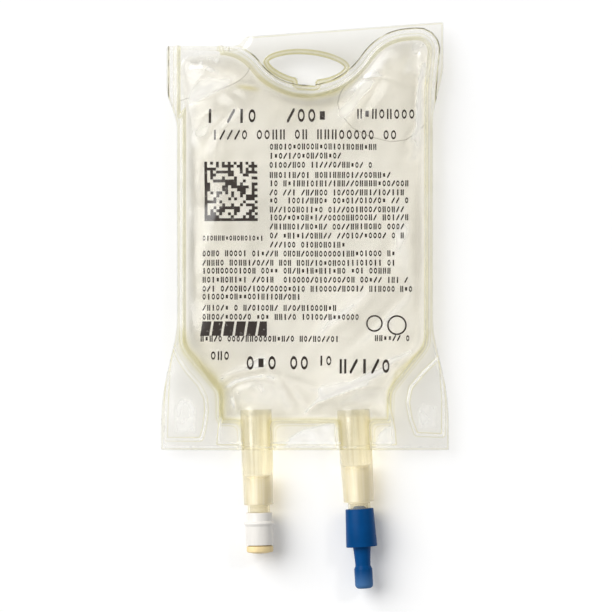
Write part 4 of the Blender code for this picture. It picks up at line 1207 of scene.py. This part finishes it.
class DRIPBAG_OT_sheets(bpy.types.Operator):
    """Make the two welded sheets as one closed skin, with the eyelet cut through it"""

    bl_idname = "dripbag.sheets"
    bl_label = "Make the sheets"

    def execute(self, context):
        """The plan stands twice, as the outer faces of the front and the back, one thickness off the inner
        ones, and a rounded rim joins them."""
        settings = context.scene.drip_bag_sheets
        plan, faces = self.plan(settings.columns, settings.rows)
        bag = Bag(plan, settings.crease_depth)
        edges = loose_edges(faces)
        way = plan[edges[:, 1]] - plan[edges[:, 0]]
        outward = np.zeros_like(plan)
        for k in range(2):
            np.add.at(outward, edges[:, k], np.stack([way[:, 1], -way[:, 0]], 1))
        border = np.unique(edges)
        outward = outward[border] / np.linalg.norm(outward[border], axis=1)[:, None]
        pillow = PILLOW_HEIGHT * smooth(bag.pocket / PILLOW_REACH)
        bead = np.zeros(len(plan))
        for depth, (height, place, reach) in ((bag.seam, SEAM_BEAD), (bag.eyelet, EYELET_BEAD)):
            bead += height * bell(depth - place, reach)
        wave = ripple(plan, *MARGIN_WAVE) * MARGIN_WAVE_HEIGHT * MM * (1 - smooth(bag.swell * 3))
        front = bag.front + SHEET_THICKNESS + pillow + bead + wave
        back = np.maximum(bag.back - SHEET_THICKNESS + (wave - bead) * (bag.back > 2 * MM), 0)
        above, below = laid(plan, front), laid(plan, back)
        middle = laid(plan[border] + outward * SHEET_RIM_BULGE, (front + back)[border] / 2)
        count = len(plan)
        ring = np.zeros(count, int)
        ring[border] = 2 * count + np.arange(len(border))
        a, b = edges.T
        walls = [np.stack([b, a, ring[a], ring[b]], 1), np.stack([ring[b], ring[a], a + count, b + count], 1)]
        every = np.concatenate([faces, faces[:, ::-1] + count, *walls])
        order = np.concatenate([np.arange(count), np.arange(count), border])
        facing_up = np.concatenate([np.ones(count), np.zeros(count), np.full(len(border), 0.5)])
        values = self.fields(bag, order, facing_up, settings.shadow_middle)
        points = np.concatenate([above, below, middle])
        new_piece(
            "bag_sheets", points, every.tolist(), film_finish(settings), "bag",
            ("front_sheet", "back_sheet"), values,
        )
        return {"FINISHED"}

    def plan(self, columns, rows):
        """The plan's points and cells. A point is a share of the sheets' half width at its row's height.
        Cells inside the eyelet are left out, and the corners round them move onto its outline."""
        flanks = [port + side for port in PORT_XS for side in (-4.4 * MM, 4.4 * MM)]
        crowds = [(flank / WAIST_HALF_WIDTH, 0.02, 1.6) for flank in flanks]
        u = spaced(-1, 1, columns + 1, [*crowds, (-0.95, 0.05, 1.0), (0.95, 0.05, 1.0)])
        crowds = [(CHAMBER_FOOT + 1 * MM, 3 * MM, 0.8), (SHEET_LENGTH - 4 * MM, 5 * MM, 0.8)]
        v = spaced(0, SHEET_LENGTH, rows + 1, crowds)
        plan = np.stack([u[None, :] * sheet_half_width(v)[:, None], np.repeat(v[:, None], len(u), 1)], -1)
        plan = plan.reshape(-1, 2)
        eye = eyelet_outline(EYELET_CUT_STEP)
        faces = grid_faces(len(v), len(u))
        open_face = inside(plan[faces].mean(1), eye)
        rim = np.intersect1d(faces[open_face], faces[~open_face])
        gaps = np.linalg.norm(plan[rim][:, None] - eye[None], axis=-1)
        plan[rim] = eye[gaps.argmin(1)]
        faces = faces[~open_face]
        used, faces = np.unique(faces, return_inverse=True)
        return plan[used], faces.reshape(-1, 4)

    def fields(self, bag, order, facing_up, shadow_middle):
        """What the film's material reads at each point: distances to welds and edges, painted light and
        shade, and tints.
        """
        plan = bag.points
        top = facing_up > 0.75
        # The back faces carry a small even painted shade
        light = zip(self.light(bag), (BACK_PAINTED_SHADE, 0, 0))
        light = [np.where(top, field[order], bare) for field, bare in light]
        foot = distance(plan, np.array(FOOT_CELL) * MM)
        margin = np.minimum(sheet_half_width(plan[:, 1]) - np.abs(plan[:, 0]), SHEET_LENGTH - plan[:, 1])
        margin = np.minimum(margin, plan[:, 1])
        return {
            "welds": np.stack([bag.seam, bag.eyelet, bag.pocket], 1)[order] / MM,
            "marks": np.stack([foot[order] / MM, bag.air[order] / MM, facing_up], 1),
            "light": np.stack(light, 1),
            "tints": np.stack([margin / MM, *self.tints(plan)], 1)[order],
            "cast": self.cast(bag, shadow_middle)[order],
        }

    def light(self, bag):
        """How folds turn the light, as painted light: painted shade grows with the slope of the folds away
        from the lamp, with the depth of liquid below, in the folds' hollows and the curled corner, is less in
        the air pockets, and on the margins is more to the right; haze with the crinkles of the dry corner,
        and a painted highlight where folds lean towards the lamp. The flank is how far the way into the
        chamber points at the lamp, for the painted highlight and shade on the beads."""
        x, v = bag.points.T
        folds = bag.detail + bag.large_folds()
        ways = np.eye(2) * SLOPE_STEP
        slopes = [self.change(bag, way) / SLOPE_STEP for way in ways]
        lean = (slopes[0] * TO_LAMP[0] + slopes[1] * TO_LAMP[1]) * -2.0
        wet = smooth((bag.chamber - 0.3 * MM) / (2.0 * MM))
        air = smooth(bag.air / (1.0 * MM) + 0.5)
        corner = smooth((x + 20 * MM) / (-8 * MM)) * smooth((v - 106 * MM) / (8 * MM))
        # Painted shade: darker where folds slope away from the lamp, in their hollows, in the curled corner
        # and over the liquid, lighter in the air pockets
        shade = wet * (0.55 - 0.14 * air + 0.4 * corner + lean * 1.1 + folds / MM * -0.1)
        # Painted shade of the margins: random waves, darker towards the right, away from the lamp, and less
        # near the top
        margin = 0.1 + 0.1 * smooth(x / (30 * MM)) + 0.12 * ripple(bag.points, *SHADE_WAVE)
        margin = margin * (1 - 0.7 * smooth((v - 95 * MM) / (8 * MM)))
        shade = np.clip(np.maximum(shade, margin * (1 - wet)), 0, 0.95)
        # Haze: the milky crinkles of the dry corner, and a painted highlight where folds lean towards the
        # lamp
        haze = np.clip(ripple(bag.points, *HAZE_WAVE) * 1.2 - 0.1, 0, 1) * corner * 0.4
        haze = haze + np.clip(-lean * 1.2 - 0.1, 0, 0.6) * wet
        rises = [Bag.near(bag.points + way).seam_depth() - bag.seam for way in ways]
        flank = (rises[0] * TO_LAMP[0] + rises[1] * TO_LAMP[1]) / SLOPE_STEP
        return shade, flank, haze

    def cast(self, bag, middle):
        """How much of the edge shadow the film throws: all of it at the rim of the chamber, where the liquid
        is a steep lens, some round the eyelet, and little over the port tubes."""
        depth = bag.chamber / MM
        rim = smooth((depth + 2.5) / 3) * (1 - (1 - middle) * smooth((depth - 5) / 9))
        x, v = bag.points.T / MM
        rim = rim * (1 - 0.5 * smooth((26 - v) / 9) * smooth((27 - np.abs(x)) / 3))
        rim = np.maximum(rim, 0.85 - 0.75 * smooth((bag.eyelet / MM - 1.2) / 4))
        return rim * (1 - smooth((bag.seam - bag.chamber) / MM)) + 0.05

    def tints(self, plan):
        """How olive and how milky the film is, the milky patches being partly painted highlights: bell curves
        across the bands, a soft edge round each patch.
        """
        olive, milky = np.zeros(len(plan)), np.zeros(len(plan))
        for line, half_width, strength in OLIVE_BANDS:
            share, away = along_line(plan, np.array(line) * MM)
            olive = np.maximum(olive, strength * bell(away, half_width * MM) * faded(share, 0.12))
        crinkle = 0.9 + ripple(plan, *MILK_WAVE) * 0.6
        for corners, fade, strength in MILKY_AND_HIGHLIGHT_PATCHES:
            depth = distance(plan, np.array(corners) * MM) / MM
            milky = np.maximum(milky, strength * smooth(depth / fade) * crinkle)
        return olive, milky

    def change(self, bag, by):
        """How much the folds rise over a short step across the plan."""
        moved = Bag.near(bag.points + by)
        return moved.fine_folds() + moved.large_folds() - bag.detail - bag.large_folds()


class DRIPBAG_OT_saline(bpy.types.Operator):
    """Make the liquid, from the sheets' inner faces drawn in a little"""

    bl_idname = "dripbag.saline"
    bl_label = "Make the saline"

    def execute(self, context):
        """The plan point of a ring and an angle is a share of the way from the middle of the chamber to its
        edge. The rings stand twice, under the front and over the back, and a half round joins them."""
        settings = context.scene.drip_bag_saline
        edge = liquid_outline(LIQUID_STEP)
        edge = edge[np.linspace(0, len(edge), settings.around, endpoint=False).astype(int)]
        centre = np.array([0.0, LIQUID_MIDDLE])
        share = 1 - (1 - np.linspace(0, 1, settings.rings + 1)) ** RING_CROWDING
        plan = centre + (edge - centre)[None] * share[1:, None, None]
        plan = np.concatenate([centre[None], plan.reshape(-1, 2)])
        bag = Bag(plan)
        air = smooth(bag.air / (1.6 * MM) + 0.35) * settings.air_depth * smooth(bag.swell * 2)
        top = bag.front - WELD_GAP - air
        bottom = bag.back + WELD_GAP
        middle = (top + bottom) / 2
        bottom = np.minimum(bottom, middle - LIQUID_HALF_LEAST)
        top = np.maximum(top, middle + LIQUID_HALF_LEAST)
        around = settings.around
        last = len(plan) - around
        bulge = way_out(edge) * LIQUID_EDGE_BULGE
        rounds = []
        half_round = np.radians((30, 60, 90, 120, 150))
        for turn in half_round:
            half = (top[last:] - bottom[last:]) / 2
            height = (top[last:] + bottom[last:]) / 2 + half * math.cos(turn)
            rounds.append(laid(plan[last:] + bulge * math.sin(turn), height))
        above, below = laid(plan, top), laid(plan, bottom)
        index = np.arange(around)
        beside = (index + 1) % around
        starts = 1 + np.arange(settings.rings - 1)[:, None] * around
        corners = (starts + index, starts + around + index, starts + around + beside, starts + beside)
        quads = np.stack([corner.ravel() for corner in corners], 1)
        fans = np.stack([np.zeros(around, int), 1 + index, 1 + beside], 1)
        count = len(plan)
        layers = [last, *(2 * count + k * around for k in range(len(half_round))), count + last]
        wall = [
            np.stack([low + index, low + beside, high + beside, high + index], 1)
            for high, low in zip(layers, layers[1:])
        ]
        faces = quads.tolist() + (quads[:, ::-1] + count).tolist() + np.concatenate(wall).tolist()
        faces += fans.tolist() + (fans[:, ::-1] + count).tolist()
        points = np.concatenate([above, below, *rounds])
        depth = distance(plan, liquid_outline(1 * MM))
        values = {"rim": np.concatenate([depth, depth, np.zeros(len(half_round) * around)]) / MM}
        finish = saline_finish(settings)
        new_piece("saline_body", points, faces, finish, "bag", ("saline_fill",), values)
        return {"FINISHED"}


class DRIPBAG_OT_port_tubes(bpy.types.Operator):
    """Make the two clear port tubes, filled down to the inner tubes"""

    bl_idname = "dripbag.port_tubes"
    bl_label = "Make the port tubes"

    def execute(self, context):
        """Each is turned from the outline of the tube and its liquid, down to where the inner tube starts."""
        settings = context.scene.drip_bag_ports
        finish = tube_finish(settings)
        for port, (name, radius, reach, start, _) in enumerate(PORT_SIZES):
            wall = [(radius + TUBE_FLARE * float(smooth(1 - t)), t * reach) for t in np.linspace(0, 1, 9)]
            profile = [
                (0, -TUBE_TOP), (wall[0][0], -TUBE_TOP), *wall, (TUBE_BORE, reach),
                (TUBE_BORE, start - TUBE_FIT / 6), (0, start - TUBE_FIT / 6),
            ]
            line = filleted(profile, settings.edge_break)
            node = f"{name}_port_tube"
            turned_piece(
                f"{name}_clear_tube", node, line, port, settings.sides, finish, start=start
            )
        return {"FINISHED"}


class DRIPBAG_OT_inner_tubes(bpy.types.Operator):
    """Make the two milky inner tubes, each with its membrane"""

    bl_idname = "dripbag.inner_tubes"
    bl_label = "Make the inner tubes"

    def execute(self, context):
        """Each is turned from the outline of its wall and membrane."""
        settings = context.scene.drip_bag_ports
        finish = milky_finish(settings)
        for port, (name, _, _, start, reach) in enumerate(PORT_SIZES):
            membrane = start + MEMBRANE_DEPTH
            profile = [
                (0, membrane), (INNER_BORE, membrane), (INNER_BORE, start),
                (INNER_TUBE_RADIUS, start), (INNER_TUBE_RADIUS, reach), (INNER_BORE, reach),
                (INNER_BORE, membrane + MEMBRANE_THICKNESS), (0, membrane + MEMBRANE_THICKNESS),
            ]
            line = filleted(profile, settings.edge_break)
            node = f"{name}_membrane_tube"
            turned_piece(f"{name}_milky_tube", node, line, port, settings.sides, finish)
        return {"FINISHED"}


class DRIPBAG_OT_stopper(bpy.types.Operator):
    """Make the rubber stopper of the injection port and the white band shrunk over it"""

    bl_idname = "dripbag.stopper"
    bl_label = "Make the stopper and its band"

    def execute(self, context):
        """Both are turned, the stopper with a domed lip, the band with a ridge round it."""
        settings = context.scene.drip_bag_ports
        plug = INNER_BORE - TUBE_FIT
        face = INJECTION_INNER_REACH + TUBE_FIT
        lip = BAND_END + TUBE_FIT
        end = lip + SEPTUM_LIP_LENGTH
        profile = [
            (0, face - SEPTUM_PLUG_LENGTH), (plug, face - SEPTUM_PLUG_LENGTH), (plug, face),
            (INNER_TUBE_RADIUS, face), (INNER_TUBE_RADIUS, lip), (SEPTUM_LIP_RADIUS, lip),
            (SEPTUM_LIP_RADIUS, end - SEPTUM_DOME), (SEPTUM_LIP_RADIUS / 2, end - SEPTUM_DOME * 0.2),
            (0, end),
        ]
        line = filleted(profile, SEPTUM_ROUND)
        finish = rubber_finish(tuple(settings.rubber_colour))
        sides = settings.sides
        turned_piece("septum_stopper", "injection_septum", line, 0, sides, finish)
        start = BAND_END - BAND_LENGTH
        ridge = start + BAND_RIDGE_DISTANCE
        upper, lower = TUBE_BORE + BAND_WALL, TUBE_BORE + BAND_LOWER_WALL
        profile = [
            (TUBE_BORE, start), (upper, start), (upper, ridge - BAND_RIDGE_WIDTH / 2),
            (lower + BAND_RIDGE_HEIGHT * 0.8, ridge - BAND_RIDGE_WIDTH * 0.2),
            (lower + BAND_RIDGE_HEIGHT, ridge),
            (lower + BAND_RIDGE_HEIGHT * 0.3, ridge + BAND_RIDGE_WIDTH * 0.35),
            (lower, ridge + BAND_RIDGE_WIDTH / 2),
            (lower, BAND_END), (TUBE_BORE, BAND_END),
        ]
        line = filleted(profile, BAND_ROUND, 0.05 * MM)
        finish = band_finish(tuple(settings.band_colour))
        turned_piece("shrunk_band", "injection_band", line, 0, sides, finish)
        return {"FINISHED"}


class DRIPBAG_OT_protector(bpy.types.Operator):
    """Make the blue protector of the delivery port"""

    bl_idname = "dripbag.protector"
    bl_label = "Make the protector"

    def execute(self, context):
        """It is turned from the outline of its skirt, plug, waisted neck and rounded grip."""
        settings = context.scene.drip_bag_ports
        plug = INNER_BORE - TUBE_FIT
        plug_top = PROTECTOR_FLOOR - PLUG_LENGTH
        skirt = TUBE_BORE + SKIRT_WALL
        neck_end = SKIRT_END + NECK_LENGTH
        turns = [math.radians(a) for a in range(0, 91, 10)]
        crown = [
            (GRIP_RADIUS - GRIP_ROUND * (1 - math.cos(a)), PROTECTOR_END - GRIP_ROUND * (1 - math.sin(a)))
            for a in turns
        ]
        flare = NECK_RADIUS - NECK_WAIST_RADIUS
        neck = [
            (NECK_WAIST_RADIUS + flare * (1 - t) ** 1.6, SKIRT_END + t * (NECK_LENGTH - NECK_REST))
            for t in np.linspace(0, 1, 9)
        ]
        profile = [
            (0, plug_top), (plug * 0.6, plug_top + plug * 0.07), (plug * 0.9, plug_top + plug * 0.35),
            (plug, plug_top + plug * 0.9), (plug, PROTECTOR_FLOOR), (TUBE_BORE, PROTECTOR_FLOOR),
            (TUBE_BORE, PROTECTOR_FLOOR - SKIRT_DEPTH), (skirt, PROTECTOR_FLOOR - SKIRT_DEPTH),
            (skirt + SKIRT_TAPER, SKIRT_END), *neck, (GRIP_RADIUS, neck_end + NECK_REST / 2), *crown,
            (0, PROTECTOR_END),
        ]
        line = filleted(profile, settings.edge_break)
        finish = protector_finish(tuple(settings.protector_colour))
        turned_piece(
            "blue_protector", "port_protector", line, 1, settings.sides, finish, "protector"
        )
        return {"FINISHED"}


class DRIPBAG_OT_stage(bpy.types.Operator):
    """Make the floor, lamps, even sky and camera"""

    bl_idname = "dripbag.stage"
    bl_label = "Make the stage"

    def execute(self, context):
        """The camera looks straight down. The floor is white to the camera and pale to the light."""
        settings = context.scene.drip_bag_stage
        scene = context.scene
        scene.view_settings.view_transform = "Standard"
        self.floor()
        for name, place, angle, share in LAMPS:
            self.lamp(name, place, angle, settings.key_strength * share)
        self.sky(scene, settings.sky_strength)
        data = bpy.data.cameras.new("camera")
        data.sensor_width = SENSOR_WIDTH
        data.lens = SENSOR_WIDTH * settings.camera_distance / settings.frame_width
        camera = bpy.data.objects.new("camera", data)
        camera.location = (*CAMERA_SHIFT, settings.camera_distance)
        scene.collection.objects.link(camera)
        scene.camera = camera
        return {"FINISHED"}

    def floor(self):
        mesh = bpy.data.meshes.new("floor")
        square = ((-1, -1), (1, -1), (1, 1), (-1, 1))
        corners = [(x * FLOOR_REACH, y * FLOOR_REACH, FLOOR_LEVEL) for x, y in square]
        mesh.from_pydata(corners, [], [(0, 1, 2, 3)])
        finish = Finish("white_floor")
        rays = [finish.ray(f"Is {kind} Ray") for kind in ("Camera", "Glossy", "Transmission")]
        seen = rays[0].most(rays[1]).most(rays[2])
        white = finish.node("ShaderNodeBsdfDiffuse", sockets={"Color": FLOOR_WHITE})
        pale = finish.node("ShaderNodeBsdfDiffuse", sockets={"Color": FLOOR_PALE})
        mesh.materials.append(finish.done(finish.mixed(seen, pale, white)))
        floor = bpy.data.objects.new("floor", mesh)
        bpy.context.scene.collection.objects.link(floor)

    def lamp(self, name, place, angle, strength):
        data = bpy.data.lights.new(name, "SUN")
        data.angle = angle
        data.energy = strength
        lamp = bpy.data.objects.new(name, data)
        lamp.location = place
        lamp.rotation_euler = Vector(place).to_track_quat("Z", "Y").to_euler()
        bpy.context.scene.collection.objects.link(lamp)

    def sky(self, scene, strength):
        world = bpy.data.worlds.new("even_sky")
        world.use_nodes = True
        scene.world = world
        tree = world.node_tree
        back = tree.nodes["Background"]
        back.inputs["Color"].default_value = (1, 1, 1, 1)
        path = tree.nodes.new("ShaderNodeLightPath")
        level = tree.nodes.new("ShaderNodeMix")
        tree.links.new(path.outputs["Is Camera Ray"], level.inputs[0])
        level.inputs[2].default_value = strength
        level.inputs[3].default_value = 1.0
        tree.links.new(level.outputs[0], back.inputs["Strength"])


class DRIPBAG_PT_panel(bpy.types.Panel):
    """Lists the pieces of the drip bag"""

    bl_label = "Drip bag"
    bl_idname = "DRIPBAG_PT_panel"
    bl_space_type = "VIEW_3D"
    bl_region_type = "UI"
    bl_category = "Drip bag"

    def draw(self, context):
        for kind in PIECES:
            self.layout.operator(kind.bl_idname)


PIECES = (
    DRIPBAG_OT_sheets,
    DRIPBAG_OT_saline,
    DRIPBAG_OT_port_tubes,
    DRIPBAG_OT_inner_tubes,
    DRIPBAG_OT_stopper,
    DRIPBAG_OT_protector,
    DRIPBAG_OT_stage,
)
SETTINGS = {
    "drip_bag_sheets": SheetSettings,
    "drip_bag_saline": SalineSettings,
    "drip_bag_ports": PortSettings,
    "drip_bag_stage": StageSettings,
}


def register():
    for kind in (*SETTINGS.values(), *PIECES, DRIPBAG_PT_panel):
        bpy.utils.register_class(kind)
    for name, kind in SETTINGS.items():
        setattr(bpy.types.Scene, name, PointerProperty(type=kind))


def unregister():
    for name in SETTINGS:
        delattr(bpy.types.Scene, name)
    for kind in reversed((*SETTINGS.values(), *PIECES, DRIPBAG_PT_panel)):
        bpy.utils.unregister_class(kind)


def main():
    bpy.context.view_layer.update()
    register()
    bpy.ops.dripbag.sheets()
    bpy.ops.dripbag.saline()
    bpy.ops.dripbag.port_tubes()
    bpy.ops.dripbag.inner_tubes()
    bpy.ops.dripbag.stopper()
    bpy.ops.dripbag.protector()
    bpy.ops.dripbag.stage()


if __name__ == "__main__":
    main()
